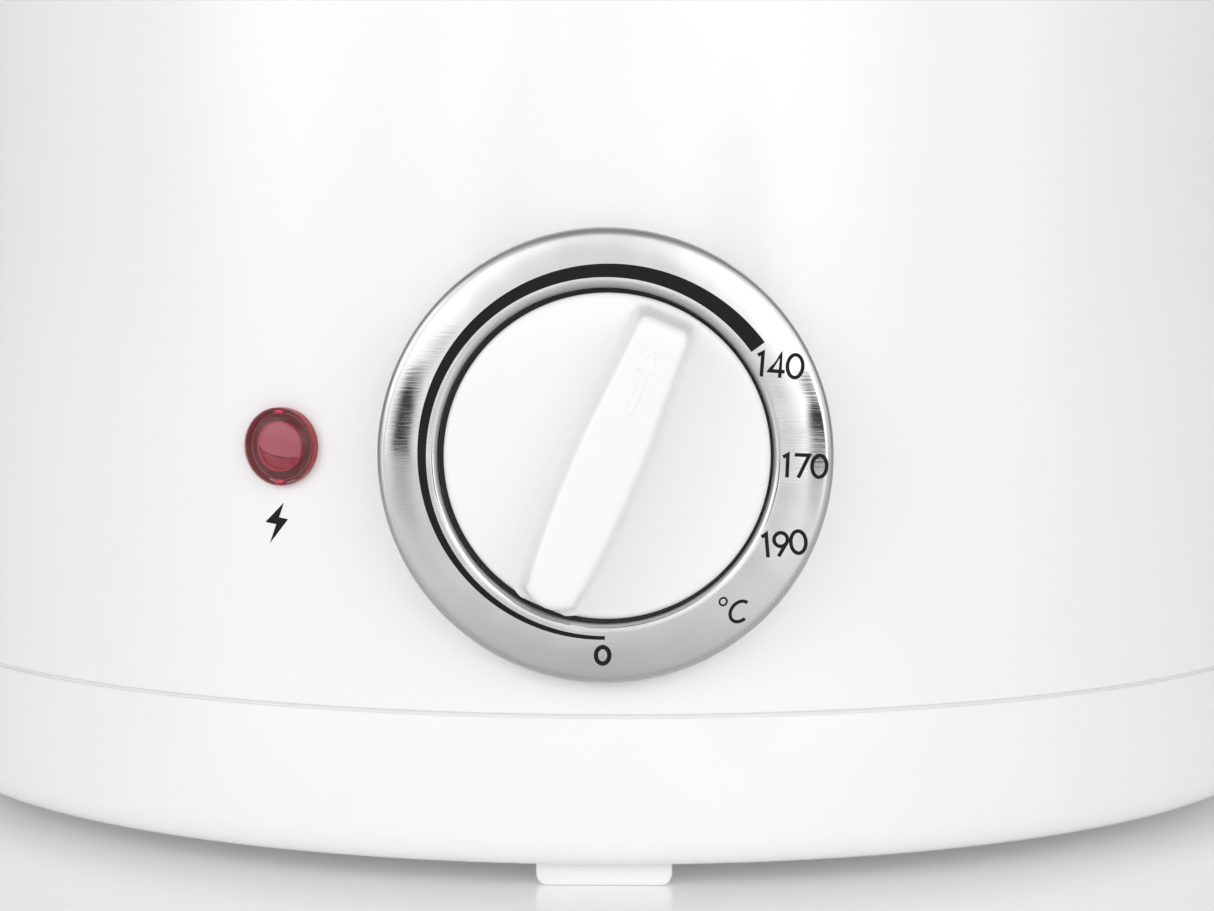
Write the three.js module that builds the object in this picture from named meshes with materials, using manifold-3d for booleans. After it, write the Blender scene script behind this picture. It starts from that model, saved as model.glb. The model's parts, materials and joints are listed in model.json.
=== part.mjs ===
// A compact round deep fryer for a worktop: a white housing with a temperature dial, a lift-out
// pot over a heater, a wire basket with a fold-in handle, and a hinged lid with window and filter.
// Millimetres, +Z up, the dial faces -Y, the origin is the middle of the footprint on the table.
// Everything is laid out round the pot's axis, and the whole fryer is centred at the end.

import * as THREE from "three";
import { mergeVertices } from "three/addons/utils/BufferGeometryUtils.js";
import Module from "manifold-3d";

const wasm = await Module();
wasm.setup();

// ---------- driving dimensions ----------

const BODY_R = 116.4; // housing radius at the seam
const TOP_R = 112.4; // housing radius below its shoulder
const WALL = 2.6; // plastic wall
const BASE_Z = 3; // underside of the base pan
const SEAM_Z = 24.75; // joint between base pan and housing
const SEAM_GAP = 0.5;
const DECK_Z = 155; // flat top of the housing
const GAP = 0.3; // between pieces that touch
const ROUND = 32; // facets round the big turned pieces

const DIAL_Z = 61.2; // height of the knob's axis
const DIAL_Y = -116.9; // flat face that the bezel sits on
const BEZEL_R = 31;
const BEZEL_HOLE_R = 23;
const KNOB_R = 22.3;
const KNOB_TURN = THREE.MathUtils.degToRad(22.9); // pointer, clockwise from the top

const LAMP_AZIMUTH = THREE.MathUtils.degToRad(-23.3);
const LAMP_Z = 61.5;
const LAMP_R = 5.5;

const POT_R = 87; // inside, at the mouth
const POT_FLOOR_Z = 79.1;
const POT_RIM_Z = 160.3; // underside of the flange
const BASKET_R = 79;
const BASKET_FLOOR_Z = 83;
const BASKET_RIM_Z = 149.9;
const HANDLE_PIVOT = { y: -79, z: 166 };

const HINGE = { y: 118.5, z: 162 }; // lid axis, along X
const LID_OPEN = THREE.MathUtils.degToRad(96); // the lid stands open
const LID_TOP_Z = 198;
const WINDOW = { y: -38, r: 40 };
const FILTER = { y: 44, width: 92, depth: 34 };
const LATCH_Z = 143.75;

// ---------- materials ----------

const finish = (color, roughness, metalness = 0) =>
  new THREE.MeshStandardMaterial({ color, roughness, metalness });
const WHITE = finish(0xf3f3f2, 0.28);
const GREY_PLASTIC = finish(0x9a9c9e, 0.45);
const STEEL = finish(0xc8c9ca, 0.28, 1);
const SHEET_STEEL = finish(0xb4b6b8, 0.4, 1);
const ALUMINIUM = finish(0xbfc1c3, 0.45, 1);
const NON_STICK = finish(0x2c2c2e, 0.5);
const RED_LENS = finish(0x9c1426, 0.12);
const BLACK_PLASTIC = finish(0x242424, 0.5);
const SILICONE = finish(0xa9adb0, 0.7);
const GLASS = finish(0xdfe8ea, 0.05);
const CHARCOAL = finish(0x303234, 0.95);
const BROWN_LEAD = finish(0x7a3d1e, 0.5);
const BLUE_LEAD = finish(0x2c5fa8, 0.5);
const COPPER = finish(0xb8734a, 0.35, 1);

// ---------- solids ----------

// A closed geometry as a manifold-3d solid.
function solid(geometry) {
  const bare = geometry.index ? geometry.toNonIndexed() : geometry.clone();
  bare.deleteAttribute("normal");
  bare.deleteAttribute("uv");
  const merged = mergeVertices(bare, 1e-4);
  const vertProperties = merged.attributes.position.array;
  const triVerts = new Uint32Array(merged.index.array);
  return new wasm.Manifold(new wasm.Mesh({ numProp: 3, vertProperties, triVerts }));
}

// A manifold-3d solid as a geometry.
function geometryOf(made) {
  const mesh = made.getMesh();
  const position = new THREE.BufferAttribute(new Float32Array(mesh.vertProperties), mesh.numProp);
  const geometry = new THREE.BufferGeometry().setAttribute("position", position);
  geometry.setIndex(new THREE.BufferAttribute(mesh.triVerts, 1));
  geometry.computeVertexNormals();
  return geometry;
}

const join = (first, ...others) =>
  geometryOf(others.reduce((made, g) => made.add(solid(g)), solid(first)));
const cut = (first, ...others) =>
  geometryOf(others.reduce((made, g) => made.subtract(solid(g)), solid(first)));
const common = (a, b) => geometryOf(solid(a).intersect(solid(b)));

// A solid turned about +Z from (radius, height) points. A profile off the axis closes on itself.
function turned(points, facets = ROUND) {
  const profile = points.map(([r, z]) => new THREE.Vector2(r, z));
  if (profile[0].x > 0) profile.push(profile[0].clone());
  if (THREE.ShapeUtils.area(profile) < 0) profile.reverse();
  return new THREE.LatheGeometry(profile, facets).rotateX(Math.PI / 2);
}

// Points of a quarter-like bend from one point to another round a corner, without the first point.
function bend(from, corner, to, steps = 3) {
  const curve = new THREE.QuadraticBezierCurve(
    new THREE.Vector2(...from),
    new THREE.Vector2(...corner),
    new THREE.Vector2(...to),
  );
  return curve.getPoints(steps).slice(1).map((p) => [p.x, p.y]);
}

// A box from its lowest to its highest corner.
function block([x0, y0, z0], [x1, y1, z1]) {
  const box = new THREE.BoxGeometry(x1 - x0, y1 - y0, z1 - z0);
  return box.translate((x0 + x1) / 2, (y0 + y1) / 2, (z0 + z1) / 2);
}

// A round bar from one point to another.
function rod(from, to, radius, facets = 16) {
  const a = new THREE.Vector3(...from);
  const b = new THREE.Vector3(...to);
  const bar = new THREE.CylinderGeometry(radius, radius, a.distanceTo(b), facets);
  const direction = b.clone().sub(a).normalize();
  const turn = new THREE.Quaternion().setFromUnitVectors(new THREE.Vector3(0, 1, 0), direction);
  const middle = a.add(b).multiplyScalar(0.5);
  return bar.applyQuaternion(turn).translate(middle.x, middle.y, middle.z);
}

// A round wire along a smooth curve through the points.
function wire(points, radius, steps, sides = 8) {
  const path = new THREE.CatmullRomCurve3(points.map((p) => new THREE.Vector3(...p)));
  return along(path, radius, steps, sides);
}

function along(path, radius, steps, sides) {
  const section = new THREE.Shape();
  for (let i = 0; i < sides; i += 1) {
    const a = (i / sides) * 2 * Math.PI;
    const x = radius * Math.cos(a);
    const y = radius * Math.sin(a);
    if (i === 0) section.moveTo(x, y);
    else section.lineTo(x, y);
  }
  return new THREE.ExtrudeGeometry(section, { steps, extrudePath: path });
}

// A ring of round wire about +Z.
const hoop = (radius, z, wireRadius) =>
  new THREE.TorusGeometry(radius, wireRadius, 5, ROUND).translate(0, 0, z);

// An outline with rounded corners, in its own X and Y.
function roundedOutline(width, height, corner, segments = 3) {
  const shape = new THREE.Shape();
  const w = width / 2 - corner;
  const h = height / 2 - corner;
  shape.absarc(w, h, corner, 0, Math.PI / 2);
  shape.absarc(-w, h, corner, Math.PI / 2, Math.PI);
  shape.absarc(-w, -h, corner, Math.PI, 1.5 * Math.PI);
  shape.absarc(w, -h, corner, 1.5 * Math.PI, 2 * Math.PI);
  return new THREE.Shape(shape.getPoints(segments));
}

// An outline drawn in X and Y and raised along +Z from one height to another.
const raised = (shape, from, to) =>
  new THREE.ExtrudeGeometry(shape, { depth: to - from, bevelEnabled: false }).translate(0, 0, from);

// An outline drawn in X and Z and run along Y from the front to the back.
const runBack = (shape, front, back) =>
  raised(shape, -back, -front).rotateX(Math.PI / 2);

// Two ears either side of a hinge pin along X, rising or falling from a height to the pin.
function ears({ inner, outer }, y, z, radius, fromZ) {
  const pair = [-1, 1].map((side) => {
    const [x0, x1] = [side * inner, side * outer].sort((a, b) => a - b);
    const stem = block([x0, y - radius, Math.min(fromZ, z)], [x1, y + radius, Math.max(fromZ, z)]);
    return join(stem, rod([x0, y, z], [x1, y, z], radius, 14));
  });
  return pair;
}

// A pin along X through a hinge's axis, and the hole for one.
const pin = ({ y, z }, halfLength, radius) => rod([-halfLength, y, z], [halfLength, y, z], radius, 12);
const pinHole = (axis, radius) => pin(axis, 60, radius + GAP);

// ---------- assembly helpers ----------

const fryer = new THREE.Group();
const layout = new THREE.Group(); // round the pot's axis
fryer.add(layout);

function piece(name, geometry, material, parent = layout) {
  const mesh = new THREE.Mesh(geometry, material);
  mesh.name = name;
  parent.add(mesh);
  return mesh;
}

// A group turned about the pot's axis: azimuth 0 is the front, positive towards +X.
function station(azimuth) {
  const group = new THREE.Group();
  group.rotation.z = azimuth;
  layout.add(group);
  return group;
}

// ---------- base ----------

const FOOT_STUD_Y = -104;
const FOOT_AZIMUTHS = { front: 0, right: Math.PI / 2, rear: Math.PI, left: -Math.PI / 2 };
const LEG_AZIMUTHS = [70, 180, 290].map(THREE.MathUtils.degToRad);
const LEG_R = 76;
const LEG_SCREW_R = 1.7;

const panOutside = (gap) => [
  [0, BASE_Z - gap],
  [112.8, BASE_Z - gap],
  ...bend([112.8, BASE_Z - gap], [115.9 + gap, BASE_Z - gap], [116.3 + gap, 7.5], 2),
  [BODY_R + gap, 14],
  [BODY_R + gap, SEAM_Z - SEAM_GAP / 2],
];

function basePan() {
  const lipR = BODY_R - WALL - GAP;
  const pan = turned([
    ...panOutside(0),
    [lipR, SEAM_Z - SEAM_GAP / 2],
    [lipR, SEAM_Z + 4],
    [lipR - 2, SEAM_Z + 4],
    [lipR - 2, 9],
    [110.5, BASE_Z + 2.4],
    [0, BASE_Z + 2.4],
  ]);
  const bosses = LEG_AZIMUTHS.map((a) => rod([0, -LEG_R, 4], [0, -LEG_R, 22], 5, 10).rotateZ(a));
  const screwHoles = LEG_AZIMUTHS.flatMap((a) => [
    rod([0, -LEG_R, 0], [0, -LEG_R, 30], LEG_SCREW_R + GAP, 8).rotateZ(a),
    rod([0, -LEG_R, 0], [0, -LEG_R, 6.5], 3.8, 10).rotateZ(a),
  ]);
  const footHoles = Object.values(FOOT_AZIMUTHS).map((a) =>
    rod([0, FOOT_STUD_Y, 0], [0, FOOT_STUD_Y, 9], 3 + GAP, 10).rotateZ(a),
  );
  const vents = [-2, -1, 0, 1, 2].map((i) => block([i * 12 - 2, -22, 0], [i * 12 + 2, 22, 9]));
  return cut(join(pan, ...bosses), ...screwHoles, ...footHoles, ...vents);
}

// A moulded foot under the rim, pushed into the pan by its stud.
function foot() {
  const face = new THREE.Shape();
  face.moveTo(-9.4, 5.5);
  face.lineTo(-9.4, 1.6);
  face.quadraticCurveTo(-9.4, 0, -7.8, 0);
  face.lineTo(7.8, 0);
  face.quadraticCurveTo(9.4, 0, 9.4, 1.6);
  face.lineTo(9.4, 5.5);
  const pad = runBack(new THREE.Shape(face.getPoints(3)), -112.6, -98.6);
  const trimmed = cut(pad, turned([...panOutside(GAP), [0, SEAM_Z]]));
  return join(trimmed, rod([0, FOOT_STUD_Y, 1.5], [0, FOOT_STUD_Y, 8], 3, 10));
}

piece("base_pan", basePan(), WHITE);
for (const [side, azimuth] of Object.entries(FOOT_AZIMUTHS)) {
  piece(`foot_${side}`, foot(), WHITE, station(azimuth));
}

// ---------- housing ----------

const GLAND = { z: 38, neck: 6.8, bore: 3.7 };
const LATCH_HALF = { x: 13.5, z: 3.75 };
const THERMOSTAT_SCREW_X = 14;
const SHAFT_R = 3;
const PAD_BACK_Y = -110; // inner face of the dial pad

function outerShell() {
  const bottom = SEAM_Z + SEAM_GAP / 2;
  const shoulder = 3.5;
  const shell = turned([
    [BODY_R, bottom],
    [TOP_R, DECK_Z - shoulder],
    ...bend([TOP_R, DECK_Z - shoulder], [TOP_R, DECK_Z], [TOP_R - shoulder, DECK_Z], 2),
    [99.5, DECK_Z],
    [99.5, DECK_Z - WALL],
    [TOP_R - WALL - 1.5, DECK_Z - WALL],
    [TOP_R - WALL, DECK_Z - WALL - 2],
    [BODY_R - WALL, bottom],
  ]);
  const pad = rod([0, DIAL_Y, DIAL_Z], [0, PAD_BACK_Y, DIAL_Z], BEZEL_R - 0.7, 32);
  const screws = [-1, 1].flatMap((side) => {
    const x = side * THERMOSTAT_SCREW_X;
    return [
      rod([x, -125, DIAL_Z], [x, -100, DIAL_Z], 1.9, 8),
      rod([x, -125, DIAL_Z], [x, DIAL_Y + 2.6, DIAL_Z], 3.4, 10),
    ];
  });
  const lampHole = rod([0, -125, LAMP_Z], [0, -100, LAMP_Z], LAMP_R - 0.6, 16).rotateZ(LAMP_AZIMUTH);
  const { x, z } = LATCH_HALF;
  return cut(
    join(shell, pad),
    rod([0, -125, DIAL_Z], [0, -100, DIAL_Z], SHAFT_R + 1.2, 12),
    ...screws,
    lampHole,
    rod([0, 100, GLAND.z], [0, 125, GLAND.z], GLAND.neck + GAP, 14),
    block([-x - 0.5, -120, LATCH_Z - z - 0.5], [x + 0.5, -104.3, LATCH_Z + z + 0.5]),
    block([-10.5, -109.6, LATCH_Z], [10.5, -104.3, DECK_Z + 5]),
  );
}

// The steel cup that the pot stands in. Its flange lies on the deck.
function innerHousing() {
  return turned([
    [0, 76.3],
    [88, 76.3],
    ...bend([88, 76.3], [92.7, 76.3], [92.7, 81], 2),
    [92.7, DECK_Z + GAP],
    [103, DECK_Z + GAP],
    [103, DECK_Z + GAP + 1],
    [91.7, DECK_Z + GAP + 1],
    [91.7, 81.5],
    [87.5, 77.3],
    [0, 77.3],
  ]);
}

// The moulded ring that carries the pot's flange.
function topCollar() {
  const bottom = DECK_Z + 2 * GAP + 1;
  return turned([
    [90.5, bottom],
    [104, bottom],
    [104, 161.5],
    ...bend([104, 161.5], [104, 163], [102.5, 163], 2),
    [99, 163],
    [99, POT_RIM_Z - GAP],
    [90.5, POT_RIM_Z - GAP],
  ]);
}

// A carrying lip on the side of the housing, open underneath for the fingers.
function carryHandle() {
  const top = 147;
  const reach = 134;
  const lip = turned([
    [TOP_R + 0.6, top],
    [reach - 5, top],
    ...bend([reach - 5, top], [reach, top], [reach, top - 4], 2),
    [reach, 131],
    [reach - WALL, 131],
    [reach - WALL, 141],
    [reach - 4.5, 142.6],
    [TOP_R + 0.6, 142.6],
  ]);
  return common(lip, block([-34, -140, 120], [34, -100, 160]));
}

piece("outer_shell", outerShell(), WHITE);
piece("inner_housing", innerHousing(), SHEET_STEEL);
piece("top_collar", topCollar(), WHITE);
piece("carry_handle_right", carryHandle(), WHITE, station(Math.PI / 2));
piece("carry_handle_left", carryHandle(), WHITE, station(-Math.PI / 2));

// ---------- heater and its supports ----------

const PLATE_Z = 68;

function heatingElement() {
  const turn = THREE.MathUtils.degToRad(150); // half of the open ring
  const z = PLATE_Z - 4.2;
  const ring = [];
  for (let i = 0; i <= 12; i += 1) {
    const a = -turn + (2 * turn * i) / 12;
    ring.push([46 * Math.sin(a), 46 * Math.cos(a), z]);
  }
  const [endX, endY] = ring[12];
  const tail = (side) => [
    [side * endX, endY - 12, z - 6],
    [side * endX, endY - 13, z - 20],
  ];
  return wire([...tail(-1).reverse(), ...ring, ...tail(1)], 3.3, 30);
}

// A sheet-metal leg: a foot on the pan's boss, an upright, and a head under the inner housing.
function leg() {
  const t = 1.5;
  const outline = new THREE.Shape();
  const points = [
    [-6, 22.3],
    [6 + t, 22.3],
    [6 + t, 76],
    [-6, 76],
    [-6, 76 - t],
    [6, 76 - t],
    [6, 22.3 + t],
    [-6, 22.3 + t],
  ];
  points.forEach(([x, z], i) => (i ? outline.lineTo(x, z) : outline.moveTo(x, z)));
  const strip = runBack(outline, -6, 6).rotateZ(Math.PI / 2).translate(0, -LEG_R, 0);
  return cut(strip, rod([0, -LEG_R, 20], [0, -LEG_R, 30], LEG_SCREW_R + GAP, 10));
}

// A screw along +Z from the outside of its head at zero.
function screw(headR, head, shankR, shank) {
  const profile = [[0, 0], [headR, 0], [headR, head], [shankR, head], [shankR, shank], [0, shank]];
  return turned(profile, 8);
}

const plateProfile = [[0, PLATE_Z], [60, PLATE_Z], [62, PLATE_Z + 2], [62, 76], [0, 76]];

piece("heater_plate", turned(plateProfile), ALUMINIUM);
piece("heating_element", heatingElement(), STEEL);
LEG_AZIMUTHS.forEach((azimuth, i) => {
  piece(`support_leg_${i + 1}`, leg(), SHEET_STEEL, station(azimuth));
  const bolt = screw(3.4, 2.2, LEG_SCREW_R, 24).translate(0, -LEG_R, 4);
  piece(`leg_screw_${i + 1}`, bolt, STEEL, station(azimuth));
});

// ---------- thermostat, wiring and pilot lamp ----------

const THERMOSTAT = { front: PAD_BACK_Y + GAP, back: -88, width: 38, height: 28 };

function thermostatBody() {
  const { front, back, width, height } = THERMOSTAT;
  const box = runBack(roundedOutline(width, height, 3, 2), front, back).translate(0, 0, DIAL_Z);
  const holes = [-1, 1].map((side) => {
    const x = side * THERMOSTAT_SCREW_X;
    return rod([x, -112, DIAL_Z], [x, front + 7, DIAL_Z], 1.8, 10);
  });
  return cut(box, rod([0, -112, DIAL_Z], [0, front + 9, DIAL_Z], SHAFT_R + 0.4, 12), ...holes);
}

// The shaft that the knob turns, with a flat that keys it to the knob.
function shaft() {
  const bar = rod([0, THERMOSTAT.front + 8, DIAL_Z], [0, DIAL_Y - 7.5, DIAL_Z], SHAFT_R, 12);
  const flatted = cut(bar, block([1.6, -130, DIAL_Z - 4], [4, DIAL_Y - 1.5, DIAL_Z + 4]));
  return flatted.translate(0, 0, -DIAL_Z).rotateY(KNOB_TURN).translate(0, 0, DIAL_Z);
}

piece("thermostat_body", thermostatBody(), BLACK_PLASTIC);
for (const [side, x] of [["left", -THERMOSTAT_SCREW_X], ["right", THERMOSTAT_SCREW_X]]) {
  const bolt = screw(3, 2, 1.5, 12).rotateX(-Math.PI / 2).translate(x, DIAL_Y + 0.3, DIAL_Z);
  piece(`thermostat_screw_${side}`, bolt, STEEL);
}

// The bulb that feels the pot's heat, and its thin tube to the thermostat.
const BULB = { x: 24, y: -70, z: 62 };
const capillary = wire(
  [
    [0, -87.6, 66],
    [0, -82, 66],
    [10, -78, 60],
    [27, -78, 56],
    [34, -72, 59],
    [BULB.x + 0.5, BULB.y, BULB.z],
  ],
  0.8,
  18,
  6,
);
const TERMINALS_Y = 60;
const LEAD_R = 1.2;
const supplyRun = [
  [-22, TERMINALS_Y - 1, 13],
  [-10, 40, 11],
  [-6, -30, 10],
  [-12, -70, 16],
  [-12, -76, 46],
  [-12, -87.2, 50],
];
const switchedRun = [
  [12, -87.2, 50],
  [13, -78, 44],
  [20, -62, 34],
  [23, -54, 36],
  [23, -53.2, 42.5],
];
const returnRun = [
  [-23, -53.2, 42.5],
  [-24, -50, 34],
  [-36, -20, 18],
  [-44, 30, 12],
  [-44, TERMINALS_Y - 1, 13],
];

const bulb = rod([-BULB.x, BULB.y, BULB.z], [BULB.x, BULB.y, BULB.z], 3, 12);
const cutout = block([-9, 18, PLATE_Z - 9], [9, 30, PLATE_Z - GAP]);
const terminals = block([-52, TERMINALS_Y, BASE_Z + 2.7], [-18, TERMINALS_Y + 14, 20]);

piece("sensor_bulb", bulb, COPPER);
piece("capillary_tube", capillary, COPPER);
piece("thermal_cutout", cutout, BLACK_PLASTIC);
piece("terminal_block", terminals, BLACK_PLASTIC);
piece("lead_supply", wire(supplyRun, LEAD_R, 16, 6), BROWN_LEAD);
piece("lead_switched", wire(switchedRun, LEAD_R, 12, 6), BROWN_LEAD);
piece("lead_return", wire(returnRun, LEAD_R, 14, 6), BLUE_LEAD);

// Built at the front, then turned to the lamp's place on the wall.
const lampStation = station(LAMP_AZIMUTH);
const lampWallY = -(BODY_R + (TOP_R - BODY_R) * ((LAMP_Z - SEAM_Z) / (DECK_Z - SEAM_Z)));
const facingFront = (geometry, y, z) => geometry.rotateX(Math.PI / 2).translate(0, y, z);

function lampLens() {
  const dome = [
    [0, -9],
    [LAMP_R - 0.9, -9],
    [LAMP_R - 0.9, 0.1],
    [LAMP_R, 0.3],
    ...bend([LAMP_R, 0.3], [LAMP_R, 2.6], [2.6, 3.1], 3),
    [0, 3.3],
  ];
  return facingFront(turned(dome, 18), lampWallY, LAMP_Z);
}

piece("lamp_lens", lampLens(), RED_LENS, lampStation);
// A push-on ring behind the wall that holds the lens.
function lampClip() {
  const ring = rod([0, lampWallY + 4, LAMP_Z], [0, lampWallY + 5, LAMP_Z], 8, 14);
  return cut(ring, rod([0, -130, LAMP_Z], [0, -90, LAMP_Z], LAMP_R - 0.6, 14));
}

const lampHolder = rod([0, lampWallY + 9.3, LAMP_Z], [0, lampWallY + 22, LAMP_Z], 4.2, 12);

piece("lamp_clip", lampClip(), STEEL, lampStation);
piece("lamp_holder", lampHolder, BLACK_PLASTIC, lampStation);

function cordGland() {
  const wallY = BODY_R;
  const flange = rod([0, wallY + GAP, GLAND.z], [0, wallY + 3.6, GLAND.z], 9.5, 20);
  const neck = rod([0, wallY - 6, GLAND.z], [0, wallY + 2, GLAND.z], GLAND.neck, 14);
  return cut(join(flange, neck), rod([0, 90, GLAND.z], [0, 130, GLAND.z], GLAND.bore, 14));
}

piece("cord_gland", cordGland(), WHITE);

// ---------- dial ----------

// The pressed steel ring round the knob: a bevelled outer edge and a rolled inner lip.
function dialBezel() {
  const ring = turned(
    [
      [BEZEL_HOLE_R, 0.3],
      [BEZEL_R, 0.3],
      [BEZEL_R, 1.7],
      [BEZEL_R - 0.8, 2.5],
      [27.5, 2.8],
      [24.1, 2.9],
      ...bend([24.1, 2.9], [BEZEL_HOLE_R, 2.9], [BEZEL_HOLE_R, 1.9], 3),
    ],
    ROUND,
  );
  return facingFront(ring, DIAL_Y, DIAL_Z);
}

// A shallow disc with a boat-shaped grip across it and a hub for the thermostat's shaft.
function controlKnob() {
  const edge = 0.7;
  const disc = turned(
    [
      [0, 3.9],
      [KNOB_R - edge, 3.5],
      ...bend([KNOB_R - edge, 3.5], [KNOB_R, 3.5], [KNOB_R, 2.8], 2),
      [KNOB_R, 0.9],
      [KNOB_R - 1.6, 0.9],
      [KNOB_R - 1.6, 2.2],
      [5.6, 2.2],
      [5.6, 0.6],
      [0, 0.6],
    ],
    28,
  );
  const grip = new THREE.Shape();
  grip.moveTo(-3.9, -21.3);
  grip.quadraticCurveTo(0, -22.4, 3.9, -21.3);
  grip.quadraticCurveTo(7.4, 0, 4.1, 20.6);
  grip.quadraticCurveTo(0, 21.4, -4.1, 20.6);
  grip.quadraticCurveTo(-7.4, 0, -3.9, -21.3);
  const bar = new THREE.ExtrudeGeometry(new THREE.Shape(grip.getPoints(4).slice(0, -1)), {
    depth: 9.4,
    bevelThickness: 1.2,
    bevelSize: 0.9,
    bevelOffset: -0.9,
    bevelSegments: 1,
  }).translate(0, 0, 3.2);
  const round = rod([0, 0, 0], [0, 0, 8.4], SHAFT_R + GAP, 12);
  const bore = cut(round, block([1.6 + GAP, -5, 2], [5, 5, 9]));
  return facingFront(cut(join(disc, bar), bore).rotateZ(-KNOB_TURN), DIAL_Y, DIAL_Z);
}

piece("dial_bezel", dialBezel(), STEEL);
piece("control_knob", controlKnob(), WHITE);
piece("thermostat_shaft", shaft(), STEEL);

// ---------- lid latch ----------

const LATCH_WINDOW = { front: -111.2, back: -104.9 };
const LATCH_BACK_Y = -101;

// The push button and its frame, which the lid's catch drops into.
function latchButton() {
  const { x, z } = LATCH_HALF;
  const { front, back } = LATCH_WINDOW;
  const face = roundedOutline(2 * x, 2 * z, 1.2, 2);
  const frame = runBack(face, -116, LATCH_BACK_Y).translate(0, 0, LATCH_Z);
  return cut(frame, block([-10.8, front, LATCH_Z - 10], [10.8, back, LATCH_Z + 10]));
}

// A compression spring along Y, between the button and the inner housing.
function latchSpring() {
  const coil = new THREE.Curve();
  const start = LATCH_BACK_Y + 0.5 + GAP;
  const end = -93.4;
  const turns = 3;
  coil.getPoint = (t, target = new THREE.Vector3()) => {
    const a = 2 * Math.PI * turns * t;
    return target.set(2.8 * Math.cos(a), start + (end - start) * t, LATCH_Z + 2.8 * Math.sin(a));
  };
  return along(coil, 0.5, 28, 5);
}

piece("latch_button", latchButton(), GREY_PLASTIC);
piece("latch_spring", latchSpring(), STEEL);

// ---------- hinge ----------

const EAR_X = { inner: 25, outer: 31 };
const HINGE_PIN_R = 2;

// A bracket on the back wall, with two ears round the lid's axis.
function hingeBracket() {
  const base = block([-EAR_X.outer, 100, 126], [EAR_X.outer, 123, 152]);
  const wall = turned([
    [0, SEAM_Z],
    [BODY_R + GAP, SEAM_Z],
    [TOP_R + GAP + 0.05, DECK_Z - 3],
    [TOP_R + GAP, DECK_Z + 20],
    [0, DECK_Z + 20],
  ]);
  const screwHoles = [-16, 16].map((x) => rod([x, 100, 137], [x, 130, 137], 1.9, 10));
  const body = join(base, ...ears(EAR_X, HINGE.y, HINGE.z, 5.1, 140));
  return cut(body, wall, pinHole(HINGE, HINGE_PIN_R), ...screwHoles);
}

piece("hinge_bracket", hingeBracket(), WHITE);
piece("hinge_pin", pin(HINGE, EAR_X.outer + 1, HINGE_PIN_R), STEEL);

// ---------- pot ----------

function pot() {
  const wall = 1.5;
  const floorR = 78;
  const under = POT_FLOOR_Z - wall;
  return turned([
    [0, under],
    [floorR, under],
    ...bend([floorR, under], [POT_R - 1.5, under], [POT_R - 1.2, POT_FLOOR_Z + 8], 2),
    [POT_R + wall, POT_RIM_Z],
    [98, POT_RIM_Z],
    [98, POT_RIM_Z + wall],
    [POT_R, POT_RIM_Z + wall],
    [POT_R - 2.7, POT_FLOOR_Z + 8.5],
    ...bend([POT_R - 2.7, POT_FLOOR_Z + 8.5], [POT_R - 3.2, POT_FLOOR_Z], [floorR, POT_FLOOR_Z], 2),
    [0, POT_FLOOR_Z],
  ]);
}

piece("pot", pot(), NON_STICK);

// ---------- basket ----------

const PIN_EAR_X = { inner: 13.6, outer: 16 };
const HANDLE_PIN_R = 2;

function basketCup() {
  const t = 1.2;
  const top = BASKET_RIM_Z - 2.1;
  return turned([
    [0, BASKET_FLOOR_Z],
    [72, BASKET_FLOOR_Z],
    [BASKET_R - 3, BASKET_FLOOR_Z + 4],
    [BASKET_R, top],
    [BASKET_R - t, top],
    [BASKET_R - 3 - t, BASKET_FLOOR_Z + 4.6],
    [71.5, BASKET_FLOOR_Z + t],
    [0, BASKET_FLOOR_Z + t],
  ]);
}

// The steel bracket inside the basket's wall that the handle turns on.
function handleBracket() {
  const { y, z } = HANDLE_PIVOT;
  const x = PIN_EAR_X.outer;
  const plate = block([-x, y + 4.6, 128], [x, y + 6.1, 158]);
  return cut(join(plate, ...ears(PIN_EAR_X, y, z, 5, 154)), pinHole(HANDLE_PIVOT, HANDLE_PIN_R));
}

// The fork that carries the grip, folded back over the basket.
function handleFork() {
  const { y, z } = HANDLE_PIVOT;
  const sleeve = rod([-13.2, y, z], [13.2, y, z], 4.2, 16);
  const arms = [-1, 1].map((side) =>
    block([side * 8.5 - 1.5, y, z - 2.2], [side * 8.5 + 1.5, y + 50, z + 2.2]),
  );
  return cut(join(sleeve, ...arms), pinHole(HANDLE_PIVOT, HANDLE_PIN_R));
}

// Half of the grip. The side is 1 for the shell on top when folded and -1 for the other.
function gripHalf(side) {
  const { y, z } = HANDLE_PIVOT;
  const outline = new THREE.Shape();
  outline.moveTo(-11.5, 42);
  outline.lineTo(11.5, 42);
  outline.quadraticCurveTo(11, 75, 14, 120);
  outline.quadraticCurveTo(14.5, 141, 0, 143);
  outline.quadraticCurveTo(-14.5, 141, -14, 120);
  outline.quadraticCurveTo(-11, 75, -11.5, 42);
  const half = new THREE.ExtrudeGeometry(new THREE.Shape(outline.getPoints(4).slice(0, -1)), {
    depth: 4.6,
    bevelThickness: 2.6,
    bevelSize: 2.6,
    bevelOffset: -2.6,
    bevelSegments: 1,
  }).translate(0, y, 2.6);
  const above = common(half, block([-30, -100, 2.75], [30, 100, 20])).translate(0, 0, -2.6);
  const arms = [-1, 1].map((s) => block([s * 8.5 - 1.9, y + 30, -2.6], [s * 8.5 + 1.9, y + 51, 2.6]));
  const slot = block([-2.4, y + 55, 2], [2.4, y + 71, 12]);
  const shell = side > 0 ? cut(above, ...arms) : cut(above, ...arms, slot);
  if (side < 0) shell.rotateY(Math.PI);
  return shell.translate(0, 0, z);
}

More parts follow.
